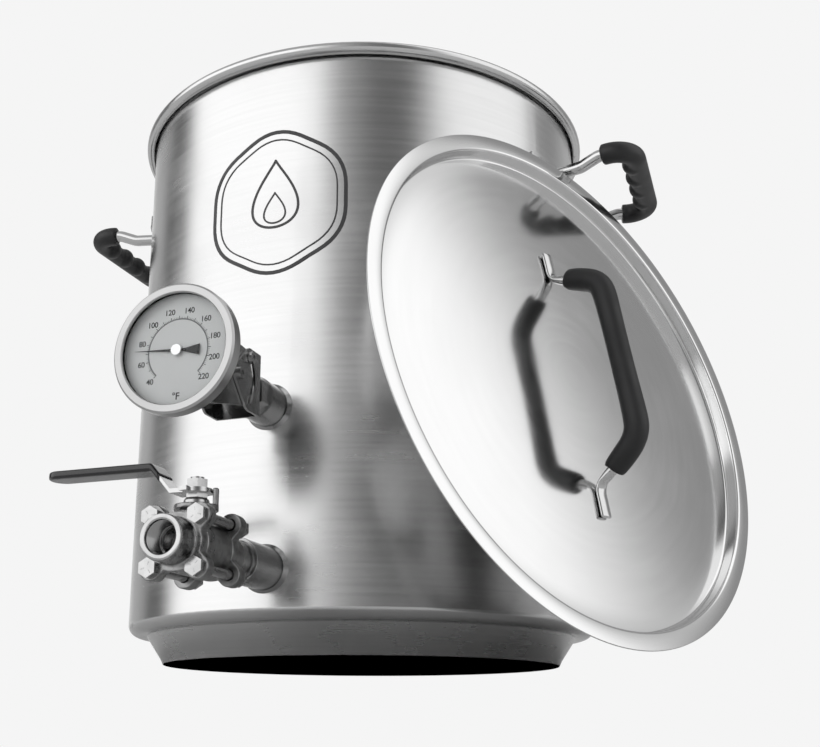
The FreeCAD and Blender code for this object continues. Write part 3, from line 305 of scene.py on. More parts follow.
@dataclass(frozen=True)
class ShaderGroups:
    """The shared shader groups."""

    lines: ShaderGroup = field(default_factory=line_grain_group)
    handling: ShaderGroup = field(default_factory=handling_group)
    casting: ShaderGroup = field(default_factory=casting_group)
    moulding: ShaderGroup = field(default_factory=moulding_group)
    panel: ShaderGroup = field(default_factory=soft_panel_group)


GROUPS = ShaderGroups()


# ---- finishes ---------------------------------------------------------------
class Recipe(Graph):
    """A material's node tree while it is being put together."""

    def __init__(self, name: str) -> None:
        """Starts a material with only a Principled shader.

        Args:
            name: The material's name.
        """
        self.material = bpy.data.materials.new(name)
        self.material.use_nodes = True
        super().__init__(self.material.node_tree)
        self.shader = self.tree.nodes["Principled BSDF"]
        self.place = self.node("ShaderNodeTexCoord").outputs["Object"]

    def set(self, **values: float | tuple[float, ...]) -> None:
        """Sets the shader's own sockets.

        Args:
            values: Values by socket name, with underscores for spaces.
        """
        for label, value in values.items():
            self.shader.inputs[label.replace("_", " ")].default_value = value

    def group(self, shared: ShaderGroup, place: Socket, **values: float) -> Node:
        """Places a shared group.

        Args:
            shared: The group.
            place: Where its patterns are read.
            values: Its float inputs.

        Returns:
            The group node.
        """
        made = self.node("ShaderNodeGroup", node_tree=shared.tree)
        for key, value in values.items():
            made.inputs[key].default_value = value
        self.link(place, made.inputs["Place"])
        return made

    def spread(self, value: Socket, low: float, high: float) -> Socket:
        """Maps a 0 to 1 mask onto a range.

        Args:
            value: The mask.
            low: The result where the mask is 0.
            high: The result where the mask is 1.

        Returns:
            The mapped socket.
        """
        made = self.node("ShaderNodeMapRange")
        made.inputs["To Min"].default_value = low
        made.inputs["To Max"].default_value = high
        self.link(value, made.inputs["Value"])
        return made.outputs[0]

    def blend(self, mask: Socket, dark: Sequence[float], light: Sequence[float]) -> Socket:
        """Mixes two colours by a mask.

        Args:
            mask: The mask.
            dark: The colour where the mask is 0.
            light: The colour where the mask is 1.

        Returns:
            The colour socket.
        """
        made = self.node("ShaderNodeMix", data_type="RGBA")
        made.inputs[6].default_value = (*dark, 1.0)
        made.inputs[7].default_value = (*light, 1.0)
        self.link(mask, made.inputs[0])
        return made.outputs[2]

    def bump(self, height: Socket, distance: float, strength: float) -> None:
        """Feeds the shader's normal from a height.

        Args:
            height: The height.
            distance: How deep the relief is, in metres.
            strength: How strongly it shows.
        """
        made = self.node("ShaderNodeBump")
        made.inputs["Distance"].default_value = distance
        made.inputs["Strength"].default_value = strength
        self.link(height, made.inputs["Height"])
        self.link(made.outputs[0], self.shader.inputs["Normal"])


@dataclass(frozen=True)
class Metal:
    """A metal finish with lines, smudges and a slight change of tone; on a casting that change is painted
    shade in the hollows of its skin.
    """

    name: str
    tone: float
    roughness: float
    grain: Grain = Grain.CAST
    along: float = 6.0
    across: float = 1500.0
    relief: float = 0.00003
    strength: float = 0.2
    contrast: float = 0.12
    stretch: float = 0.0
    warmth: float = 0.0

    def colour(self, tone: float) -> tuple[float, float, float]:
        """A nearly neutral grey of that tone."""
        return (tone * (1.0 + self.warmth), tone, tone * (1.0 - self.warmth))

    def place(self, recipe: Recipe, centre: Matrix) -> Socket:
        """Turns object coordinates so that the lines run as the grain says.

        Args:
            recipe: The material being made.
            centre: The local frame that a spun grain's rings lie in.

        Returns:
            The coordinates that the line group reads.
        """
        if self.grain in (Grain.AROUND, Grain.CAST, Grain.ALONG):
            return recipe.place
        mapping = recipe.node("ShaderNodeMapping", vector_type="POINT")
        back = centre.inverted()
        mapping.inputs["Rotation"].default_value = back.to_euler()
        mapping.inputs["Location"].default_value = back.to_translation()
        recipe.link(recipe.place, mapping.inputs["Vector"])
        parts = recipe.parts(mapping.outputs[0])
        length = recipe.node("ShaderNodeVectorMath", operation="LENGTH")
        recipe.link(recipe.vector(parts[0], parts[1]), length.inputs[0])
        return recipe.vector(parts[0], parts[1], length.outputs["Value"])

    def build(self, centre: Matrix = Matrix.Identity(4)) -> bpy.types.Material:
        """Makes the material.

        Args:
            centre: The local frame that a spun or turned grain's rings lie in.

        Returns:
            The material.
        """
        recipe = Recipe(self.name)
        shader = recipe.shader
        recipe.set(Metallic=1.0, Anisotropic=self.stretch)
        hands = recipe.group(GROUPS.handling, recipe.place)
        if self.grain is Grain.CAST:
            skin = recipe.group(GROUPS.casting, recipe.place, Grit=self.across)
            # On a casting the colour mask is painted shade, darker in the hollows of the skin's waves; on
            # other grains it is the lines' own tone.
            height, tone = skin.outputs["Height"], skin.outputs["Hollow"]
        else:
            place = self.place(recipe, centre)
            skin = recipe.group(GROUPS.lines, place, Along=self.along, Across=self.across)
            height, tone = skin.outputs["Height"], skin.outputs["Tone"]
        low = self.tone * (1.0 - self.contrast)
        high = min(self.tone * (1.0 + self.contrast), 0.95)
        colour = recipe.blend(tone, self.colour(low), self.colour(high))
        recipe.link(colour, shader.inputs["Base Color"])
        smudges = recipe.spread(hands.outputs["Cloud"], 0.0, self.roughness * 0.35)
        lines = recipe.spread(tone, self.roughness * 0.8, self.roughness * 1.2)
        recipe.link(recipe.math("ADD", smudges, lines), shader.inputs["Roughness"])
        recipe.bump(height, self.relief, self.strength)
        if self.stretch > 0.0 and self.grain is Grain.AROUND:
            tangent = recipe.node("ShaderNodeTangent", direction_type="RADIAL", axis="Z")
            recipe.link(tangent.outputs[0], shader.inputs["Tangent"])
        return recipe.material


@dataclass(frozen=True)
class Soft:
    """A rubber, vinyl or plastic finish with a moulded skin."""

    name: str
    dark: tuple[float, float, float]
    light: tuple[float, float, float]
    roughness: float
    pebble: float = 1400.0
    relief: float = 0.00006
    strength: float = 0.3
    coat: float = 0.0

    def build(self) -> bpy.types.Material:
        """Makes the material.

        Returns:
            The material.
        """
        recipe = Recipe(self.name)
        skin = recipe.group(GROUPS.moulding, recipe.place, Pebble=self.pebble)
        hands = recipe.group(GROUPS.handling, recipe.place, Size=40.0)
        recipe.link(recipe.blend(skin.outputs["Bloom"], self.dark, self.light),
                    recipe.shader.inputs["Base Color"])
        recipe.link(recipe.spread(hands.outputs["Cloud"], self.roughness, self.roughness * 1.25),
                    recipe.shader.inputs["Roughness"])
        recipe.set(Coat_Weight=self.coat)
        recipe.bump(skin.outputs["Height"], self.relief, self.strength)
        return recipe.material


@dataclass(frozen=True)
class Glass:
    """Flat clear instrument glass."""

    name: str

    def build(self) -> bpy.types.Material:
        """Makes the material, with faint wipe marks in its roughness.

        Returns:
            The material.
        """
        recipe = Recipe(self.name)
        recipe.set(Base_Color=(0.97, 0.98, 0.98, 1.0), Transmission_Weight=1.0, IOR=1.12)
        hands = recipe.group(GROUPS.handling, recipe.place, Size=60.0)
        recipe.link(recipe.spread(hands.outputs["Cloud"], 0.0, 0.03), recipe.shader.inputs["Roughness"])
        return recipe.material


# ---- mesh helpers -----------------------------------------------------------
def keep_sharp(mesh: bpy.types.Mesh, degrees: float = 32.0) -> None:
    """Shades a mesh smooth except across its sharp edges.

    Args:
        mesh: The mesh.
        degrees: The angle past which an edge is sharp.
    """
    mesh.shade_smooth()
    mesh.set_sharp_from_angle(angle=math.radians(degrees))


def face_outwards(mesh: bpy.types.Mesh) -> None:
    """Merges doubled points, then turns every face outwards.

    Args:
        mesh: The mesh.
    """
    work = bmesh.new()
    work.from_mesh(mesh)
    bmesh.ops.remove_doubles(work, verts=work.verts, dist=0.002 * MM)
    bmesh.ops.recalc_face_normals(work, faces=work.faces)
    work.to_mesh(mesh)
    work.free()


def in_place(mesh: bpy.types.Mesh, matrix: Matrix) -> bpy.types.Mesh:
    """Moves a mesh's points by a matrix and returns the mesh."""
    mesh.transform(matrix)
    mesh.update()
    return mesh


def facing(centre: Vector, normal: Vector, across: Vector) -> Matrix:
    """A frame whose Z is the normal and whose X is the across direction.

    Args:
        centre: The frame's origin.
        normal: The direction of its Z axis.
        across: The direction of its X axis.

    Returns:
        The frame as a matrix.
    """
    side = normal.cross(across)
    matrix = Matrix((across, side, normal)).transposed().to_4x4()
    matrix.translation = centre
    return matrix


def front_axis(place: float, height: float) -> Matrix:
    """A frame on a front-facing axis, its Z pointing away from the kettle."""
    return facing(Vector((0.0, place, height)), OUT, RIGHT)


def add_piece(
    name: str,
    mesh: bpy.types.Mesh,
    material: bpy.types.Material,
    body: Body,
    stands_for: Sequence[str] = (),
) -> bpy.types.Object:
    """Puts a finished mesh in the scene and ties it to the frame.

    Args:
        name: The piece's name.
        mesh: Its mesh, already in place.
        material: Its finish.
        body: The body it rides on.
        stands_for: CAD nodes that it takes the place of.

    Returns:
        The piece.
    """
    mesh.materials.clear()
    mesh.materials.append(material)
    piece = bpy.data.objects.new(name, mesh)
    bpy.context.scene.collection.objects.link(piece)
    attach(piece, body.value)
    if stands_for:
        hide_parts(*stands_for)
    LOG.info("%s: %d faces on %s", name, len(mesh.polygons), body.value)
    return piece


def dress(material: bpy.types.Material, *nodes: str) -> None:
    """Gives CAD nodes a finish.

    Args:
        material: The finish.
        nodes: The nodes' names.
    """
    for node in nodes:
        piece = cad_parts[node]
        if not piece.material_slots:
            piece.data.materials.append(None)
        for slot in piece.material_slots:
            slot.link = "OBJECT"
            slot.material = material


def cad_copy(node: str) -> bpy.types.Mesh:
    """Copies a CAD node's mesh and merges its loose triangles.

    Args:
        node: The node's name.

    Returns:
        The copy.
    """
    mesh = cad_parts[node].data.copy()
    work = bmesh.new()
    work.from_mesh(mesh)
    bmesh.ops.remove_doubles(work, verts=work.verts, dist=0.004 * MM)
    work.to_mesh(mesh)
    work.free()
    mesh.materials.clear()
    return mesh


def softened(node: str, voxel: float, passes: int, factor: float = 0.5) -> bpy.types.Mesh:
    """Copies a CAD node and rounds its edges as casting or moulding does.

    Args:
        node: The CAD node.
        voxel: The size of the remeshed grid, in metres.
        passes: How many times its points are smoothed.
        factor: How far each pass moves a point.

    Returns:
        The rounded mesh.
    """
    holder = bpy.data.objects.new(node + "_work", cad_copy(node))
    bpy.context.scene.collection.objects.link(holder)
    remesh = holder.modifiers.new("Grid", "REMESH")
    remesh.mode = "VOXEL"
    remesh.voxel_size = voxel
    smooth = holder.modifiers.new("Round", "SMOOTH")
    smooth.iterations = passes
    smooth.factor = factor
    return settled(holder)


def settled(holder: bpy.types.Object) -> bpy.types.Mesh:
    """Turns an object and its modifiers into a plain mesh and removes the object.

    Args:
        holder: The object.

    Returns:
        The mesh.
    """
    graph = bpy.context.evaluated_depsgraph_get()
    mesh = bpy.data.meshes.new_from_object(holder.evaluated_get(graph), depsgraph=graph)
    bpy.data.objects.remove(holder)
    mesh.shade_smooth()
    return mesh


def polyline(points: Iterable[Point]) -> bpy.types.Mesh:
    """A row of points in the XZ plane, as a lathe's section.

    Args:
        points: Radius and height of each.

    Returns:
        The row as a mesh of edges.
    """
    places = [(radius, 0.0, height) for radius, height in points]
    mesh = bpy.data.meshes.new("section")
    mesh.from_pydata(places, [(i, i + 1) for i in range(len(places) - 1)], [])
    return mesh


def corner_arc(centre: Point, radius: float, start: float, end: float, steps: int = 6) -> list[Point]:
    """Points on an arc of a section.

    Args:
        centre: The arc's centre.
        radius: Its radius.
        start: Its first angle in degrees.
        end: Its last angle in degrees.
        steps: How many steps it is drawn in.

    Returns:
        The points.
    """
    places = []
    for step in range(steps + 1):
        angle = math.radians(start + (end - start) * step / steps)
        places.append((centre[0] + radius * math.cos(angle), centre[1] + radius * math.sin(angle)))
    return places


def strip(rows: Sequence[Sequence[Vector]], closed: bool = False) -> bpy.types.Mesh:
    """Skins equal rows of points into a solid skin with capped ends.

    Args:
        rows: Closed loops of equal length.
        closed: Whether the last loop joins the first.

    Returns:
        The mesh.
    """
    count = len(rows[0])
    places = [point for row in rows for point in row]
    faces = []
    steps = len(rows) if closed else len(rows) - 1
    for row in range(steps):
        after = (row + 1) % len(rows)
        for index in range(count):
            right = (index + 1) % count
            near, far = row * count, after * count
            faces.append((near + index, near + right, far + right, far + index))
    if not closed:
        faces.append(tuple(range(count)))
        faces.append(tuple(range((len(rows) - 1) * count, len(rows) * count)))
    mesh = bpy.data.meshes.new("strip")
    mesh.from_pydata([tuple(place) for place in places], [], faces)
    face_outwards(mesh)
    return mesh


@dataclass(frozen=True)
class Station:
    """One place on a swept bar: where it is and its half sizes there."""

    place: float
    rise: float
    half_width: float
    half_thick: float


def swept(stations: Sequence[Station], steps: int = 5, sides: int = 24) -> bpy.types.Mesh:
    """Sweeps an oval along stations in the YZ plane.

    Args:
        stations: The stations, in order.
        steps: How many rows lie between two stations.
        sides: How many points go round.

    Returns:
        The bar as a closed mesh, width along X.
    """
    keys = [Vector((one.place, one.rise, one.half_width, one.half_thick)) for one in stations]
    ends = [keys[0] * 2.0 - keys[1], *keys, keys[-1] * 2.0 - keys[-2]]
    path = []
    for index in range(1, len(ends) - 2):
        before, start, end, after = ends[index - 1:index + 3]
        for step in range(steps):
            t = step / steps
            spot = start * 2.0 + (end - before) * t
            spot += (before * 2.0 - start * 5.0 + end * 4.0 - after) * t ** 2
            spot += (start * 3.0 - before - end * 3.0 + after) * t ** 3
            path.append(spot / 2.0)
    path.append(keys[-1])
    rows = []
    for index, spot in enumerate(path):
        way = path[min(index + 1, len(path) - 1)] - path[max(index - 1, 0)]
        along = Vector((0.0, way[0], way[1])).normalized()
        side = along.cross(RIGHT)
        middle = Vector((0.0, spot[0], spot[1]))
        row = []
        for step in range(sides):
            angle = math.tau * step / sides
            row.append(middle + RIGHT * (math.cos(angle) * spot[2]) + side * (math.sin(angle) * spot[3]))
        rows.append(row)
    mesh = strip(rows)
    keep_sharp(mesh, 50.0)
    return mesh


# ---- geometry node trees ----------------------------------------------------
class ShapeTree(Graph):
    """A geometry node tree with named inputs, whose result becomes a plain mesh."""

    def __init__(self, name: str, inputs: dict[str, str]) -> None:
        """Starts a tree.

        Args:
            name: The tree's name.
            inputs: Names and socket types of its inputs.
        """
        super().__init__(bpy.data.node_groups.new(name, "GeometryNodeTree"))
        face = self.tree.interface
        face.new_socket("Geometry", in_out="INPUT", socket_type="NodeSocketGeometry")
        self.sockets = {}
        for label, kind in inputs.items():
            self.sockets[label] = face.new_socket(label, in_out="INPUT", socket_type=kind).identifier
        face.new_socket("Geometry", in_out="OUTPUT", socket_type="NodeSocketGeometry")
        self.start = self.tree.nodes.new("NodeGroupInput")
        self.end = self.tree.nodes.new("NodeGroupOutput")

    def step(self, kind: str, **settings: object) -> Node:
        """Adds a geometry node and sets its properties."""
        return self.node("GeometryNode" + kind, **settings)

    def given(self, label: str) -> Socket:
        """The socket of a named input."""
        return self.start.outputs[label]

    def turned(self, angles: Socket) -> Socket:
        """A rotation from three angles.

        Args:
            angles: The angles as a vector.

        Returns:
            The rotation socket.
        """
        made = self.node("FunctionNodeEulerToRotation")
        self.link(angles, made.inputs[0])
        return made.outputs[0]

    def on_circle(self, radius: Socket, angle: Socket, height: Socket | float) -> Socket:
        """A point on a circle about Z.

        Args:
            radius: The circle's radius.
            angle: The point's angle.
            height: The circle's height.

        Returns:
            The point as a vector socket.
        """
        across = self.math("MULTIPLY", radius, self.math("COSINE", angle))
        along = self.math("MULTIPLY", radius, self.math("SINE", angle))
        return self.vector(across, along, height)

    def close(self, geometry: Socket) -> None:
        """Ends the tree with Realize Instances and Set Material.

        Args:
            geometry: What the tree has made.
        """
        realize = self.step("RealizeInstances")
        paint = self.step("SetMaterial")
        self.link(geometry, realize.inputs["Geometry"])
        self.link(realize.outputs[0], paint.inputs["Geometry"])
        self.link(self.given("Material"), paint.inputs["Material"])
        self.link(paint.outputs[0], self.end.inputs["Geometry"])

    def make(self, seed: bpy.types.Mesh, **values: object) -> bpy.types.Mesh:
        """Runs the tree on a mesh.

        Args:
            seed: The mesh that the tree starts from.
            values: The named inputs.

        Returns:
            The result as a plain mesh, facing outwards.
        """
        holder = bpy.data.objects.new("work", seed)
        bpy.context.scene.collection.objects.link(holder)
        shaper = holder.modifiers.new("Shape", "NODES")
        shaper.node_group = self.tree
        for label, value in values.items():
            shaper[self.sockets[label]] = value
        mesh = settled(holder)
        face_outwards(mesh)
        keep_sharp(mesh)
        return mesh


def lathe_tree() -> ShapeTree:
    """Turns a section, given as a row of points, into a body of revolution about Z.

    Returns:
        The tree.
    """
    shape = ShapeTree("Lathe", {"Turns": "NodeSocketInt", "Material": "NodeSocketMaterial"})
    size = shape.step("AttributeDomainSize", component="MESH")
    shape.link(shape.start.outputs["Geometry"], size.inputs["Geometry"])
    count = size.outputs["Point Count"]
    grid = shape.step("MeshGrid")
    shape.link(shape.math("ADD", shape.given("Turns"), 1.0), grid.inputs["Vertices X"])
    shape.link(count, grid.inputs["Vertices Y"])
    index = shape.step("InputIndex").outputs[0]
    row = shape.math("MODULO", index, count)
    turn = shape.math("FLOOR", shape.math("DIVIDE", index, count))
    angle = shape.math("MULTIPLY", shape.math("DIVIDE", turn, shape.given("Turns")), math.tau)
    place = shape.step("InputPosition").outputs[0]
    sample = shape.step("SampleIndex", data_type="FLOAT_VECTOR", domain="POINT")
    shape.link(shape.start.outputs["Geometry"], sample.inputs["Geometry"])
    shape.link(place, sample.inputs["Value"])
    shape.link(row, sample.inputs["Index"])
    radius, _, height = shape.parts(sample.outputs[0])
    move = shape.step("SetPosition")
    shape.link(grid.outputs["Mesh"], move.inputs["Geometry"])
    shape.link(shape.on_circle(radius, angle, height), move.inputs["Position"])
    merge = shape.step("MergeByDistance")
    merge.inputs["Distance"].default_value = 0.001 * MM
    shape.link(move.outputs[0], merge.inputs["Geometry"])
    shape.close(merge.outputs[0])
    return shape


def set_out_tree() -> ShapeTree:
    """Sets one shape on every point, turned by the point's own turn attribute.

    Returns:
        The tree.
    """
    shape = ShapeTree("SetOut", {"Shape": "NodeSocketObject", "Material": "NodeSocketMaterial"})
    info = shape.step("ObjectInfo", transform_space="ORIGINAL")
    shape.link(shape.given("Shape"), info.inputs["Object"])
    turn = shape.step("InputNamedAttribute", data_type="FLOAT_VECTOR")
    turn.inputs["Name"].default_value = "turn"
    points = shape.step("InstanceOnPoints")
    shape.link(shape.start.outputs["Geometry"], points.inputs["Points"])
    shape.link(info.outputs["Geometry"], points.inputs["Instance"])
    shape.link(shape.turned(turn.outputs["Attribute"]), points.inputs["Rotation"])
    shape.close(points.outputs[0])
    return shape


def tick_tree() -> ShapeTree:
    """Lays bars in an arc in the XY plane, each pointing at the middle.

    Returns:
        The tree.
    """
    shape = ShapeTree("Ticks", {
        "Count": "NodeSocketInt",
        "Radius": "NodeSocketFloat",
        "First": "NodeSocketFloat",
        "Step": "NodeSocketFloat",
        "Bar": "NodeSocketVector",
        "Material": "NodeSocketMaterial",
    })
    line = shape.step("MeshLine")
    shape.link(shape.given("Count"), line.inputs["Count"])
    index = shape.step("InputIndex").outputs[0]
    angle = shape.math("ADD", shape.given("First"), shape.math("MULTIPLY", index, shape.given("Step")))
    move = shape.step("SetPosition")
    shape.link(line.outputs["Mesh"], move.inputs["Geometry"])
    shape.link(shape.on_circle(shape.given("Radius"), angle, 0.0), move.inputs["Position"])
    bar = shape.step("MeshCube")
    shape.link(shape.given("Bar"), bar.inputs["Size"])
    points = shape.step("InstanceOnPoints")
    shape.link(move.outputs[0], points.inputs["Points"])
    shape.link(bar.outputs["Mesh"], points.inputs["Instance"])
    shape.link(shape.turned(shape.vector(0.0, 0.0, angle)), points.inputs["Rotation"])
    shape.close(points.outputs[0])
    return shape


@dataclass(frozen=True)
class ShapeTrees:
    """The shared geometry trees."""

    lathe: ShapeTree = field(default_factory=lathe_tree)
    set_out: ShapeTree = field(default_factory=set_out_tree)
    ticks: ShapeTree = field(default_factory=tick_tree)


TREES = ShapeTrees()


def turned(
    section: Sequence[Point],
    matrix: Matrix,
    material: bpy.types.Material,
    turns: int = 96,
) -> bpy.types.Mesh:
    """Turns a section on the lathe and puts it in place.

    Args:
        section: Radius and height of each point.
        matrix: The frame whose Z is the lathe's axis.
        material: The finish.
        turns: How many facets go round.

    Returns:
        The mesh.
    """
    return in_place(TREES.lathe.make(polyline(section), Turns=turns, Material=material), matrix)


def set_out(
    shape: bpy.types.Mesh,
    frames: Sequence[Matrix],
    material: bpy.types.Material,
) -> bpy.types.Mesh:
    """Repeats a shape at each frame.

    Args:
        shape: The shape, about the origin.
        frames: Where each copy goes.
        material: The finish.

    Returns:
        The copies as one mesh.
    """
    seed = bpy.data.meshes.new("spots")
    seed.from_pydata([tuple(matrix.to_translation()) for matrix in frames], [], [])
    turn = seed.attributes.new("turn", "FLOAT_VECTOR", "POINT")
    for index, matrix in enumerate(frames):
        turn.data[index].vector = matrix.to_euler()
    pattern = bpy.data.objects.new("pattern", shape)
    bpy.context.scene.collection.objects.link(pattern)
    mesh = TREES.set_out.make(seed, Shape=pattern, Material=material)
    bpy.data.objects.remove(pattern)
    return mesh


# ---- finishes of this kettle ------------------------------------------------
BODY_STEEL = Metal("BrushedBodySteel", 0.66, 0.2, Grain.AROUND, along=5.0, across=1500.0,
                   relief=0.000012, strength=0.16, contrast=0.06, stretch=0.45)
BASE_STEEL = Metal("SpunBaseSteel", 0.72, 0.24, Grain.AROUND, along=9.0, across=2400.0,
                   relief=0.000012, strength=0.2, contrast=0.08, stretch=0.3)
LID_STEEL = Metal("SpunLidSteel", 0.78, 0.12, Grain.SPUN, along=18.0, across=900.0,
                  relief=0.000006, strength=0.05, contrast=0.03)
ROD_STEEL = Metal("PolishedRodSteel", 0.62, 0.1, Grain.ALONG, along=90.0, across=500.0,
                  relief=0.00001, strength=0.1, contrast=0.06)
STRAP_STEEL = Metal("BrushedStrapSteel", 0.68, 0.22, Grain.AROUND, along=14.0, across=1800.0,
                    relief=0.00001, strength=0.2, contrast=0.08)
COUPLING_STEEL = Metal("TurnedCouplingSteel", 0.4, 0.2, Grain.TURNED, along=30.0, across=1700.0,
                       relief=0.00002, strength=0.25, contrast=0.12)
CAST_STEEL = Metal("BlastedCastSteel", 0.3, 0.26, Grain.CAST, across=1500.0,
                   relief=0.00012, strength=0.35, contrast=0.2)
BOLT_STEEL = Metal("FormedBoltSteel", 0.5, 0.17, Grain.CAST, across=700.0,
                   relief=0.00004, strength=0.12, contrast=0.1)
LEVER_STEEL = Metal("StampedLeverSteel", 0.56, 0.2, Grain.CAST, across=500.0,
                    relief=0.00004, strength=0.16, contrast=0.08)
BRACKET_STEEL = Metal("StampedBracketSteel", 0.4, 0.2, Grain.CAST, across=420.0,
                      relief=0.00003, strength=0.14, contrast=0.1)
BEZEL_STEEL = Metal("SatinBezelSteel", 0.5, 0.3, Grain.TURNED, along=40.0, across=1900.0,
                    relief=0.00001, strength=0.2, contrast=0.07)
BALL_STEEL = Metal("PolishedBallSteel", 0.78, 0.06, Grain.CAST, across=260.0,
                   relief=0.000006, strength=0.05, contrast=0.04)
HUB_METAL = Metal("TurnedHubMetal", 0.82, 0.3, Grain.TURNED, along=60.0, across=4200.0,
                  relief=0.00001, strength=0.2, contrast=0.06)
GRIP_RUBBER = Soft("MouldedGripRubber", (0.006, 0.006, 0.0065), (0.013, 0.013, 0.014), 0.42,
                   pebble=2600.0, relief=0.00003, strength=0.25)
LID_RUBBER = Soft("SmoothLidGripRubber", (0.005, 0.005, 0.0055), (0.011, 0.011, 0.012), 0.5,
                  pebble=3200.0, relief=0.00002, strength=0.2)
LEVER_VINYL = Soft("DippedLeverVinyl", (0.004, 0.004, 0.0045), (0.009, 0.009, 0.01), 0.16,
                   pebble=300.0, relief=0.00012, strength=0.25, coat=0.35)
GASKET_RUBBER = Soft("DialGasketRubber", (0.012, 0.012, 0.013), (0.022, 0.022, 0.023), 0.5)
SEAT_PLASTIC = Soft("ValveSeatPlastic", (0.72, 0.72, 0.7), (0.82, 0.82, 0.8), 0.4, relief=0.00001)
DIAL_PAINT = Soft("WhiteDialPaint", (0.86, 0.86, 0.86), (0.9, 0.9, 0.9), 0.42,
                  pebble=1800.0, relief=0.000006, strength=0.1)
DIAL_INK = Soft("BlackDialInk", (0.018, 0.018, 0.019), (0.03, 0.03, 0.031), 0.5, relief=0.000004)
DIAL_GREY_INK = Soft("GreyDialInk", (0.23, 0.23, 0.235), (0.3, 0.3, 0.305), 0.5, relief=0.000004)
BADGE_INK = Soft("EtchedBadgeInk", (0.02, 0.02, 0.021), (0.045, 0.045, 0.047), 0.45, relief=0.000004)
NEEDLE_PAINT = Soft("BlackNeedlePaint", (0.01, 0.01, 0.0105), (0.02, 0.02, 0.021), 0.36, relief=0.000006)
INSTRUMENT_GLASS = Glass("InstrumentGlass")


# ---- sub-assemblies ----------------------------------------------------------
@dataclass
class KettleBody:
    """The drawn body, its clad base and the mark etched on its front."""

    wall: float = 0.18
    badge_height: float = 0.3145
    badge_radius: float = 0.06
    badge_gap: float = 0.007
    badge_line: float = 0.0018
    badge_lift: float = 0.00025
    drop_height: float = 0.052
    drop_radius: float = 0.0165

    def build(self) -> None:
        """Dresses the body and lays the badge on it."""
        dress(BODY_STEEL.build(), "kettle_shell")
        base = BASE_STEEL.build()
        dress(base, "base_cap")
        dress(base, "base_core")
        self.badge(BADGE_INK.build())

    def on_wall(self, across: float, height: float, lift: float) -> Vector:
        """A point of a flat pattern laid round the wall.

        Args:
            across: Distance to the right of the front, along the wall.
            height: Height above the floor.
            lift: Distance out from the wall.

        Returns:
            The point.
        """
        angle = across / self.wall
        reach = self.wall + lift
        return Vector((reach * math.sin(angle), -reach * math.cos(angle), height))

    def band(self, outline: Sequence[Point], width: float) -> bpy.types.Mesh:
        """A closed line of even width laid on the wall.

        Args:
            outline: The line's points about the badge's middle.
            width: The line's width.

        Returns:
            The line as a thin raised strip.
        """
        rows = []
        count = len(outline)
        for index, spot in enumerate(outline):
            before = Vector(outline[index - 1])
            after = Vector(outline[(index + 1) % count])
            way = (after - before).normalized()
            side = Vector((way.y, -way.x)) * width / 2.0
            rim = []
            for edge, lift in ((side, 0.0), (side, self.badge_lift), (-side, self.badge_lift), (-side, 0.0)):
                place = Vector(spot) + edge
                rim.append(self.on_wall(place.x, self.badge_height + place.y, lift))
            rows.append(rim)
        return strip(rows, closed=True)

    def hexagon(self, radius: float, rounding: float) -> list[Point]:
        """A six-sided outline with rounded corners.

        Args:
            radius: From its middle to a corner.
            rounding: How far from a corner the rounding starts.

        Returns:
            The outline's points.
        """
        corners = [
            Vector((radius * math.sin(math.radians(60 * step)), radius * math.cos(math.radians(60 * step))))
            for step in range(6)
        ]
        points: list[Point] = []
        for index, corner in enumerate(corners):
            start = corner + (corners[index - 1] - corner).normalized() * rounding
            end = corner + (corners[(index + 1) % 6] - corner).normalized() * rounding
            last = Vector(points[-1]) if points else None
            if last is not None:
                points += [tuple(last.lerp(start, share / 8)) for share in range(1, 8)]
            for step in range(9):
                share = step / 8
                spot = start * (1 - share) ** 2 + corner * 2 * share * (1 - share) + end * share ** 2
                points.append((spot.x, spot.y))
        first = Vector(points[0])
        last = Vector(points[-1])
        points += [tuple(last.lerp(first, share / 8)) for share in range(1, 8)]
        return points

    def droplet(self, radius: float, height: float, shift: float) -> list[Point]:
        """A drop's outline: a round foot that draws up to a point.

        Args:
            radius: Its half width, before it is drawn in.
            height: Its height.
            shift: How far its middle lies above the badge's.

        Returns:
            The outline's points.
        """
        points = []
        for step in range(72):
            angle = math.tau * step / 72
            up = (1.0 - math.cos(angle)) / 2.0
            width = radius * math.sin(angle) * math.sin(angle / 2.0) ** 1.35
            points.append((width, shift + height * (0.5 - up)))
        return points

    def badge(self, ink: bpy.types.Material) -> None:
        """Builds the badge: two thin six-sided outlines round a drop.

        Args:
            ink: Its finish.
        """
        inner = self.badge_radius - self.badge_gap
        outlines = {
            "badge_outer_line": (self.hexagon(self.badge_radius, 0.022), self.badge_line * 1.5),
            "badge_inner_line": (self.hexagon(inner, 0.019), self.badge_line * 0.6),
            "badge_drop": (self.droplet(self.drop_radius * 1.5, self.drop_height, 0.006), self.badge_line),
            "badge_drop_core": (self.droplet(self.drop_radius * 0.7, self.drop_height * 0.45, -0.005),
                                self.badge_line * 0.7),
        }
        for name, (outline, width) in outlines.items():
            add_piece(name, self.band(outline, width), ink, Body.KETTLE)


@dataclass
class SideHandles:
    """The two side handles: bent rods, riveted straps and moulded grips."""

    voxel: float = 0.0008
    passes: int = 10

    def build(self) -> None:
        """Dresses the rods and straps and moulds the grips."""
        rod = ROD_STEEL.build()
        strap = STRAP_STEEL.build()
        rubber = GRIP_RUBBER.build()
        for side in ("left", "right"):
            dress(rod, f"{side}_handle_rod", f"{side}_handle_rivets")
            dress(strap, f"{side}_handle_strap_front", f"{side}_handle_strap_rear")
            node = f"{side}_handle_grip"
            mesh = softened(node, self.voxel, self.passes)
            add_piece(f"{node}_moulded", mesh, rubber, Body.KETTLE, [node])


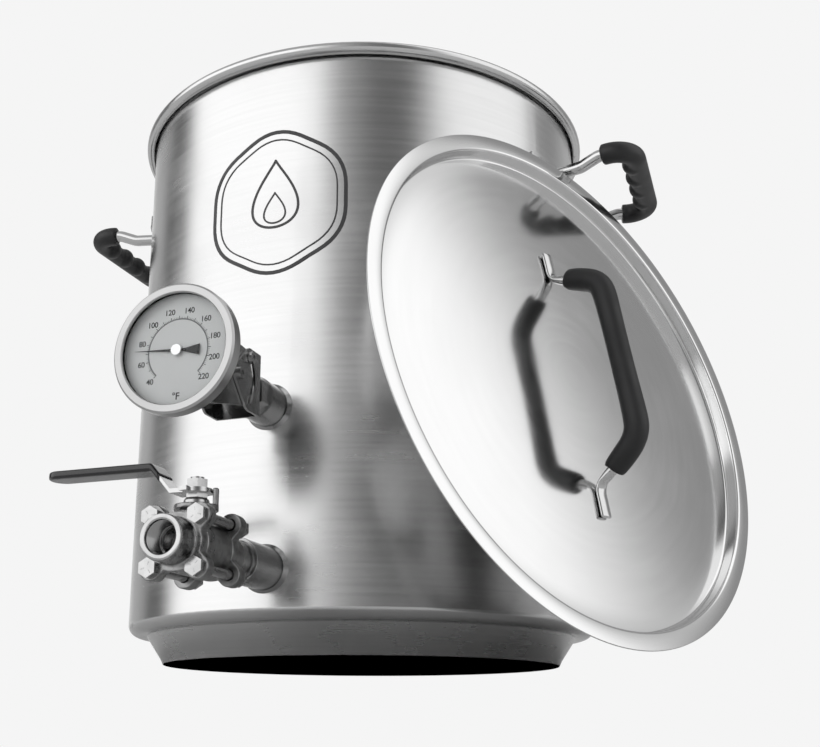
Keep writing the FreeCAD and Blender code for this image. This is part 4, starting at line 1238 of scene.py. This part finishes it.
@dataclass
class Lid:
    """The lid that leans on the wall, its bent handle and rubber grip."""

    turn: float = 61.0
    tilt: float = 11.6
    radius: float = 0.188
    recess: float = 0.1756
    channel: float = 0.163
    depth: float = 0.01
    dome: float = 0.0045
    sheet: float = 0.001
    bend: float = 0.002
    rod: float = 0.00375
    foot_half: float = 0.005
    foot_thick: float = 0.0036

    def frame(self) -> Matrix:
        """The lid's own frame: Z out of its top, X across, about its middle.

        Returns:
            The frame as a matrix.
        """
        around = math.radians(self.turn)
        lean = math.radians(self.tilt)
        away = Vector((math.sin(around), -math.cos(around), 0.0))
        across = Vector((math.cos(around), math.sin(around), 0.0))
        normal = away * math.cos(lean) + UP * math.sin(lean)
        centre = away * (0.1804 + 0.1766 * math.sin(lean) + 0.011 * math.cos(lean))
        centre += UP * (0.188 * math.cos(lean) + 0.001 * math.sin(lean))
        return facing(centre, normal, across)

    def build(self) -> None:
        """Spins the pan, bends the handle's rods and moulds its grip."""
        place = self.frame()
        steel = LID_STEEL.build(place)
        add_piece("lid_pan_spun", turned(self.section(), place, steel, 240), steel, Body.LID,
                  ["lid_pan"])
        rod = ROD_STEEL.build()
        for name, way in (("upper", 1.0), ("lower", -1.0)):
            mesh = in_place(swept(self.neck(way)), place)
            add_piece(f"lid_handle_neck_{name}", mesh, rod, Body.LID, ["lid_handle_rod"])
        mesh = in_place(swept(self.grip()), place)
        add_piece("lid_handle_grip_moulded", mesh, LID_RUBBER.build(), Body.LID,
                  ["lid_handle_grip"])

    def section(self) -> list[Point]:
        """The pan's section: panel, channel, recess wall and brim, then back below.

        Returns:
            The section's points.
        """
        upper = self.face(0.0)
        lower = self.face(self.sheet)
        edge = corner_arc((self.radius - self.sheet / 2.0, -self.sheet / 2.0), self.sheet / 2.0, 90.0, -90.0)
        return upper + edge + lower[::-1]

    def face(self, drop: float) -> list[Point]:
        """One face of the sheet.

        Args:
            drop: How far it lies below the upper face.

        Returns:
            Its section from the middle outwards, short of the brim's edge.
        """
        points = []
        for step in range(33):
            share = step / 32
            points.append((self.channel * share, self.dome * (1.0 - share ** 2) - self.depth - drop))
        heel = (self.recess - self.bend, self.bend - self.depth)
        points += corner_arc(heel, self.bend + drop, -90.0, 0.0, 8)
        shoulder = (self.recess + self.bend, -self.bend)
        points += corner_arc(shoulder, self.bend - drop, 180.0, 90.0, 8)
        return points

    def neck(self, way: float) -> list[Station]:
        """The bent rod at one end of the handle, from its flattened foot into the grip.

        Args:
            way: 1 for the upper end, -1 for the lower.

        Returns:
            The stations that it is swept along.
        """
        rod = self.rod
        flat = (self.foot_half, self.foot_thick / 2.0)
        rows = (
            (0.1, -0.0052, flat[0] * 0.86, flat[1] * 0.7), (0.0985, -0.0051, *flat), (0.09, -0.0049, *flat),
            (0.082, -0.0046, *flat), (0.0772, -0.0022, flat[0] * 0.94, flat[1] * 1.2),
            (0.0742, 0.0025, flat[0] * 0.84, rod * 0.86), (0.0716, 0.0075, rod, rod),
            (0.0687, 0.0135, rod, rod), (0.0645, 0.0205, rod, rod), (0.061, 0.0255, rod, rod),
        )
        return [Station(way * place, rise, half, thick) for place, rise, half, thick in rows]

    def grip(self) -> list[Station]:
        """The grip, a little swollen at its two corners.

        Returns:
            The stations that it is swept along.
        """
        half = (
            (0.0716, 0.0088, 0.0058), (0.0712, 0.0094, 0.0071), (0.0692, 0.0131, 0.0077),
            (0.0652, 0.0198, 0.008), (0.0606, 0.0264, 0.008), (0.0545, 0.0312, 0.008),
            (0.0465, 0.0331, 0.008), (0.03, 0.0335, 0.0077), (0.012, 0.0335, 0.0075),
        )
        upper = [Station(place, rise, thick, thick) for place, rise, thick in half]
        lower = [Station(-place, rise, thick, thick) for place, rise, thick in reversed(half)]
        return upper + lower


@dataclass
class BallValve:
    """The three-piece flanged ball valve with its lever."""

    height: float = 0.0535
    voxel: float = 0.0005
    passes: int = 5
    bore: float = 0.0096
    thread_depth: float = 0.0007
    thread_pitch: float = 0.0018
    thread_length: float = 0.014
    thread_cut: float = 0.0128
    thread_sink: float = 0.0002
    thread_back: float = 0.0004
    sleeve_voxel: float = 0.0006
    sleeve_passes: int = 24
    mouth: float = -0.311
    lip: float = 0.0128
    lip_rise: float = 0.00025
    coupling_end: float = -0.219
    coupling_edge: float = 0.0142
    nipple: float = 0.0107
    bolt_spread: float = 0.0145
    head_face: float = -0.3
    mark_start: float = 0.0016
    mark_end: float = 0.0037
    mark_half: float = 0.00028
    mark_rise: float = 0.0002

    def build(self) -> None:
        """Builds the valve from the kettle outwards."""
        coupling = COUPLING_STEEL.build(front_axis(-0.2, self.height))
        dress(coupling, "valve_coupling", "valve_nipple")
        dress(SEAT_PLASTIC.build(), "valve_seal_inner", "valve_seal_outer", "valve_seat_inner",
              "valve_seat_outer", "valve_packing", "valve_thrust_washer")
        dress(BALL_STEEL.build(), "valve_ball")
        bolt = BOLT_STEEL.build()
        dress(bolt, "valve_stem", "valve_stem_nut", "valve_packing_nut", "valve_disc_spring", "valve_gland",
              "valve_nuts", "valve_bolts", "valve_lock_washers")
        cast = CAST_STEEL.build()
        for node in ("valve_cap_inner", "valve_cap_outer", "valve_body"):
            mesh = softened(node, self.voxel, self.passes)
            add_piece(f"{node}_casting", mesh, cast, Body.KETTLE, [node])
        self.threads(coupling)
        self.bright_lips(bolt)
        self.head_marks(bolt)
        self.lever()

    def bright_lips(self, steel: bpy.types.Material) -> None:
        """Faces the outlet's mouth and the coupling's front edge bright with raised lips: their rounded
        edges catch real light, and their lighter steel is a painted highlight.

        Args:
            steel: Their finish.
        """
        # Painted highlight: the lips take the lighter bolt steel so that the edges read bright.
        for name, place, inner, outer in (
            ("valve_outlet_lip", self.mouth, self.bore + 0.0002, self.lip),
            ("valve_coupling_lip", self.coupling_end, self.nipple, self.coupling_edge),
        ):
            high = self.lip_rise
            section = [(inner, -high), (inner, high * 0.4), (inner + high, high), (outer - high, high),
                       (outer, high * 0.4), (outer, -high), (inner, -high)]
            mesh = turned(section, front_axis(place, self.height), steel, 96)
            add_piece(name, mesh, steel, Body.KETTLE)

    def head_marks(self, steel: bpy.types.Material) -> None:
        """Raises three grade marks on each of the four bolt heads.

        Args:
            steel: Their finish.
        """
        rows = []
        for turn in (90.0, 210.0, 330.0):
            way = Vector((math.cos(math.radians(turn)), math.sin(math.radians(turn)), 0.0))
            side = Vector((-way.y, way.x, 0.0)) * self.mark_half
            rise = UP * self.mark_rise
            near, far = way * self.mark_start, way * self.mark_end
            rows.append([near - side, far - side, far + side, near + side,
                         near - side * 0.6 + rise, far - side * 0.6 + rise,
                         far + side * 0.6 + rise, near + side * 0.6 + rise])
        faces = [(0, 3, 2, 1), (4, 5, 6, 7), (0, 1, 5, 4), (1, 2, 6, 5), (2, 3, 7, 6), (3, 0, 4, 7)]
        marks = bpy.data.meshes.new("marks")
        points = [tuple(point) for row in rows for point in row]
        sides = [tuple(8 * row + i for i in face) for row in range(3) for face in faces]
        marks.from_pydata(points, [], sides)
        spread = self.bolt_spread
        frames = [
            front_axis(self.head_face, self.height) @ Matrix.Translation((side * spread, rise * spread, 0.0))
            @ Matrix.Rotation(math.radians(turn), 4, "Z")
            for side, rise, turn in ((1, 1, 12), (-1, 1, 40), (1, -1, 75), (-1, -1, 100))
        ]
        add_piece("valve_bolt_marks", set_out(marks, frames, steel), steel, Body.KETTLE)

    def threads(self, steel: bpy.types.Material) -> None:
        """Cuts the outlet's thread as rings of a fine saw section.

        Args:
            steel: Its finish.
        """
        root = self.bore + self.thread_sink
        back = root + self.thread_back
        section = [(root, -self.thread_length)]
        turns = int(self.thread_cut / self.thread_pitch)
        for index in range(turns):
            low = index * self.thread_pitch - self.thread_length
            section.append((root, low))
            section.append((self.bore - self.thread_depth, low + self.thread_pitch * 0.5))
        top = turns * self.thread_pitch - self.thread_length
        section += [(root, top), (back, top), (back, -self.thread_length), section[0]]
        mesh = turned(section, front_axis(self.mouth, self.height), steel, 72)
        add_piece("valve_outlet_thread", mesh, steel, Body.KETTLE)

    def lever(self) -> None:
        """Dresses the lever's plate and dips its end in vinyl."""
        dress(LEVER_STEEL.build(), "valve_lever")
        mesh = softened("valve_lever_sleeve", self.sleeve_voxel, self.sleeve_passes)
        add_piece("valve_lever_sleeve_dipped", mesh, LEVER_VINYL.build(), Body.LEVER,
                  ["valve_lever_sleeve"])


@dataclass
class Dial:
    """The thermometer: its bent bracket, case, printed dial and needle."""

    height: float = 0.1625
    face_place: float = -0.3024
    ink: float = 0.00008
    ring_radius: float = 0.0192
    number_radius: float = 0.0245
    number_size: float = 0.0047
    coupling_end: float = -0.204
    lip_inner: float = 0.0095
    lip_outer: float = 0.014
    lip_bevel: float = 0.0002
    lip_rise: float = 0.00025
    lowest: int = 40
    highest: int = 220
    first_degrees: float = 225.0
    last_degrees: float = -45.0

    def build(self) -> None:
        """Builds the thermometer from the kettle outwards."""
        axis = front_axis(self.face_place, self.height)
        coupling = COUPLING_STEEL.build(axis)
        dress(coupling, "thermometer_coupling", "thermometer_fitting", "thermometer_locknut",
              "thermometer_probe")
        bolt = BOLT_STEEL.build()
        dress(BRACKET_STEEL.build(), "thermometer_yoke", "thermometer_head_bracket", "thermometer_case")
        dress(bolt, "thermometer_lock_screws", "thermometer_lock_nuts",
              "thermometer_pivot_screws", "thermometer_pivot_nuts")
        dress(GASKET_RUBBER.build(), "thermometer_bellows", "thermometer_gasket")
        dress(BEZEL_STEEL.build(axis), "thermometer_bezel")
        dress(DIAL_PAINT.build(), "thermometer_dial")
        dress(HUB_METAL.build(axis), "thermometer_hub", "thermometer_bush", "thermometer_spindle")
        dress(NEEDLE_PAINT.build(), "thermometer_pointer")
        dress(INSTRUMENT_GLASS.build(), "thermometer_lens")
        # Painted highlight: the coupling's lip takes the lighter bolt steel.
        self.coupling_lip(bolt)
        self.print_dial(axis)

    def angle_of(self, reading: float) -> float:
        """The dial angle of a reading, in radians."""
        share = (reading - self.lowest) / (self.highest - self.lowest)
        return math.radians(self.first_degrees + (self.last_degrees - self.first_degrees) * share)

    def print_dial(self, axis: Matrix) -> None:
        """Prints the scale: a grey arc, its ticks, the numbers and the unit.

        Args:
            axis: The dial's frame.
        """
        black = DIAL_INK.build()
        grey = DIAL_GREY_INK.build()
        arc = self.arc(self.ring_radius, 0.00075)
        add_piece("dial_arc", in_place(arc, axis), grey, Body.HEAD)
        for name, count, radius, bar, ink in (
            ("dial_fine_ticks", 91, self.ring_radius + 0.0007, (0.0011, 0.00016), black),
            ("dial_long_ticks", 19, self.ring_radius + 0.0009, (0.0022, 0.00034), black),
        ):
            sweep = self.angle_of(self.highest) - self.angle_of(self.lowest)
            mesh = TREES.ticks.make(
                bpy.data.meshes.new("none"),
                Count=count,
                Radius=radius,
                First=self.angle_of(self.lowest),
                Step=sweep / (count - 1),
                Bar=(bar[0], bar[1], 2.0 * self.ink),
                Material=ink,
            )
            add_piece(name, in_place(mesh, axis), ink, Body.HEAD)
        self.print_numbers(axis, black)

    def coupling_lip(self, steel: bpy.types.Material) -> None:
        """Faces the coupling's front edge bright with a raised lip: its bevelled edges catch real light, and
        its lighter steel is a painted highlight.

        Args:
            steel: Its finish.
        """
        high = self.lip_rise
        section = [(self.lip_inner, -high), (self.lip_inner + self.lip_bevel, high), (self.lip_outer, high),
                   (self.lip_outer + self.lip_bevel, -high), (self.lip_inner, -high)]
        mesh = turned(section, front_axis(self.coupling_end, self.height), steel)
        add_piece("thermometer_coupling_lip", mesh, steel, Body.KETTLE)

    def arc(self, radius: float, width: float) -> bpy.types.Mesh:
        """A flat arc along the scale.

        Args:
            radius: Its middle radius.
            width: Its width.

        Returns:
            The mesh, about the dial's middle.
        """
        rows = []
        first = self.angle_of(self.lowest)
        last = self.angle_of(self.highest)
        for step in range(121):
            angle = first + (last - first) * step / 120
            way = Vector((math.cos(angle), math.sin(angle), 0.0))
            low, high = way * (radius - width / 2), way * (radius + width / 2)
            lift = UP * self.ink
            rows.append([low - lift, high - lift, high + lift, low + lift])
        return strip(rows)

    def print_numbers(self, axis: Matrix, ink: bpy.types.Material) -> None:
        """Prints the numbers and the unit as one mesh.

        Args:
            axis: The dial's frame.
            ink: Their finish.
        """
        work = bmesh.new()
        for reading in range(self.lowest, self.highest + 1, 20):
            angle = self.angle_of(reading)
            place = Vector((math.cos(angle), math.sin(angle), 0.0)) * self.number_radius
            work.from_mesh(self.lettered(str(reading), self.number_size, place))
        unit = Vector((0.0, -0.0275, 0.0))
        work.from_mesh(self.lettered("°F", self.number_size * 1.25, unit))
        mesh = bpy.data.meshes.new("numbers")
        work.to_mesh(mesh)
        work.free()
        add_piece("dial_numbers", in_place(mesh, axis), ink, Body.HEAD)

    def lettered(self, text: str, size: float, place: Vector) -> bpy.types.Mesh:
        """A printed word as a thin raised mesh.

        Args:
            text: What it says.
            size: Its height.
            place: Its middle on the dial.

        Returns:
            The mesh, about the dial's middle.
        """
        curve = bpy.data.curves.new("word", "FONT")
        curve.body = text
        curve.size = size
        curve.align_x = "CENTER"
        curve.align_y = "CENTER"
        curve.extrude = self.ink
        curve.offset = size * 0.012
        curve.space_character = 0.96
        holder = bpy.data.objects.new("word", curve)
        bpy.context.scene.collection.objects.link(holder)
        mesh = settled(holder)
        return in_place(mesh, Matrix.Translation(place))


# ---- studio -----------------------------------------------------------------
@dataclass(frozen=True)
class Panel:
    """A softbox or a dark flag round the studio, in degrees from the front."""

    centre: float
    half_width: float
    softness: float
    light: float
    top: float = 90.0

    def sizes(self) -> dict[str, float]:
        """What the panel's shader group is given."""
        return {
            "Centre": self.centre,
            "Inner": self.half_width,
            "Outer": self.half_width + self.softness,
            "Top": self.top,
            "Light": self.light,
        }


def grey(tone: float) -> tuple[float, float, float, float]:
    """A neutral colour of that tone."""
    return (tone, tone, tone, 1.0)


@dataclass
class Studio:
    """The plain pale floor, the soft surround and the camera."""

    floor_half: float = 6.0
    backdrop: float = 0.913
    fill: float = 2.3
    floor_tone: float = 0.6
    floor_tone_in_steel: float = 0.42
    surround_light: float = 0.5
    left_box: Panel = Panel(-45.0, 35.0, 20.0, 1.5, 35.0)
    right_box: Panel = Panel(85.0, 25.0, 25.0, 1.25)
    back_box: Panel = Panel(-150.0, 5.0, 20.0, 1.0, 35.0)
    front_flag: Panel = Panel(35.0, 5.0, 30.0, 0.15)
    left_flag: Panel = Panel(-95.0, 5.0, 15.0, 0.1, 35.0)
    right_flag: Panel = Panel(135.0, 5.0, 20.0, 0.3)
    eye: tuple[float, float, float] = (0.3093, -0.8272, -0.0451)
    eye_azimuth: float = 20.5
    eye_rise: float = 15.2
    eye_roll: float = 0.3
    lens: float = 48.5
    lens_shift: tuple[float, float] = (0.058, 0.065)

    def build(self) -> None:
        """Builds the floor, the surround and the camera."""
        self.floor()
        self.surround()
        self.camera()

    def floor(self) -> None:
        """Lays the floor, which light passes through from below."""
        half = self.floor_half
        mesh = bpy.data.meshes.new("studio_floor")
        mesh.from_pydata([(-half, -half, 0), (half, -half, 0), (half, half, 0), (-half, half, 0)], [],
                         [(0, 1, 2, 3)])
        piece = bpy.data.objects.new("studio_floor", mesh)
        bpy.context.scene.collection.objects.link(piece)
        recipe = Recipe("PaleFloor")
        recipe.set(Base_Color=grey(self.floor_tone), Roughness=0.7)
        dim = recipe.node("ShaderNodeBsdfDiffuse")
        dim.inputs["Color"].default_value = grey(self.floor_tone_in_steel)
        rays = recipe.node("ShaderNodeLightPath")
        upper = recipe.node("ShaderNodeMixShader")
        recipe.feed(upper.inputs, (rays.outputs["Is Glossy Ray"], recipe.shader.outputs[0], dim.outputs[0]))
        sides = recipe.node("ShaderNodeNewGeometry")
        clear = recipe.node("ShaderNodeBsdfTransparent")
        mix = recipe.node("ShaderNodeMixShader")
        recipe.feed(mix.inputs, (sides.outputs["Backfacing"], upper.outputs[0], clear.outputs[0]))
        recipe.link(mix.outputs[0], recipe.tree.nodes["Material Output"].inputs["Surface"])
        mesh.materials.append(recipe.material)

    def surround(self) -> None:
        """Builds the world: an even backdrop to the eye, soft panels to the steel."""
        world = bpy.data.worlds.new("studio_surround")
        bpy.context.scene.world = world
        world.use_nodes = True
        world.node_tree.nodes.clear()
        graph = Graph(world.node_tree)
        rays = graph.node("ShaderNodeLightPath")
        fill = graph.node("ShaderNodeMapRange")
        fill.inputs["To Min"].default_value = 1.0
        fill.inputs["To Max"].default_value = self.fill
        graph.link(rays.outputs["Is Diffuse Ray"], fill.inputs["Value"])
        lights = graph.node("ShaderNodeBackground")
        graph.link(fill.outputs[0], lights.inputs["Strength"])
        graph.link(self.light(graph), lights.inputs["Color"])
        seen = graph.node("ShaderNodeBackground")
        seen.inputs["Color"].default_value = grey(self.backdrop)
        mix = graph.node("ShaderNodeMixShader")
        graph.feed(mix.inputs, (rays.outputs["Is Camera Ray"], lights.outputs[0], seen.outputs[0]))
        graph.link(mix.outputs[0], graph.node("ShaderNodeOutputWorld").inputs["Surface"])

    def light(self, graph: Graph) -> Socket:
        """Hangs the panels in front of one another.

        Args:
            graph: The world's tree.

        Returns:
            The light that comes from each direction.
        """
        place = graph.node("ShaderNodeTexCoord").outputs["Generated"]
        behind = self.surround_light
        boxes = (self.left_box, self.right_box, self.back_box)
        flags = (self.front_flag, self.left_flag, self.right_flag)
        for panel in boxes + flags:
            made = graph.node("ShaderNodeGroup", node_tree=GROUPS.panel.tree)
            for label, size in panel.sizes().items():
                made.inputs[label].default_value = size
            graph.feed((made.inputs["Place"], made.inputs["Behind"]), (place, behind))
            behind = made.outputs[0]
        return behind

    def camera(self) -> None:
        """Sets the camera low at the front right, looking up a little."""
        lens = bpy.data.cameras.new("studio_camera")
        lens.lens = self.lens
        lens.sensor_width = 36.0
        lens.shift_x, lens.shift_y = self.lens_shift
        eye = bpy.data.objects.new("studio_camera", lens)
        bpy.context.scene.collection.objects.link(eye)
        azimuth = math.radians(self.eye_azimuth)
        rise = math.radians(self.eye_rise)
        flat = math.cos(rise)
        way = Vector((-math.sin(azimuth) * flat, math.cos(azimuth) * flat, math.sin(rise)))
        roll = Matrix.Rotation(math.radians(self.eye_roll), 4, "Z")
        matrix = way.to_track_quat("-Z", "Y").to_matrix().to_4x4() @ roll
        matrix.translation = Vector(self.eye)
        eye.matrix_world = matrix
        bpy.context.scene.camera = eye
        bpy.context.scene.view_settings.view_transform = "Standard"


def main() -> None:
    """Builds each sub-assembly in order."""
    logging.basicConfig(level=logging.INFO, format="%(message)s")
    for assembly in (KettleBody(), SideHandles(), Lid(), BallValve(), Dial(), Studio()):
        LOG.info("building %s", type(assembly).__name__)
        assembly.build()


if __name__ == "__main__":
    main()
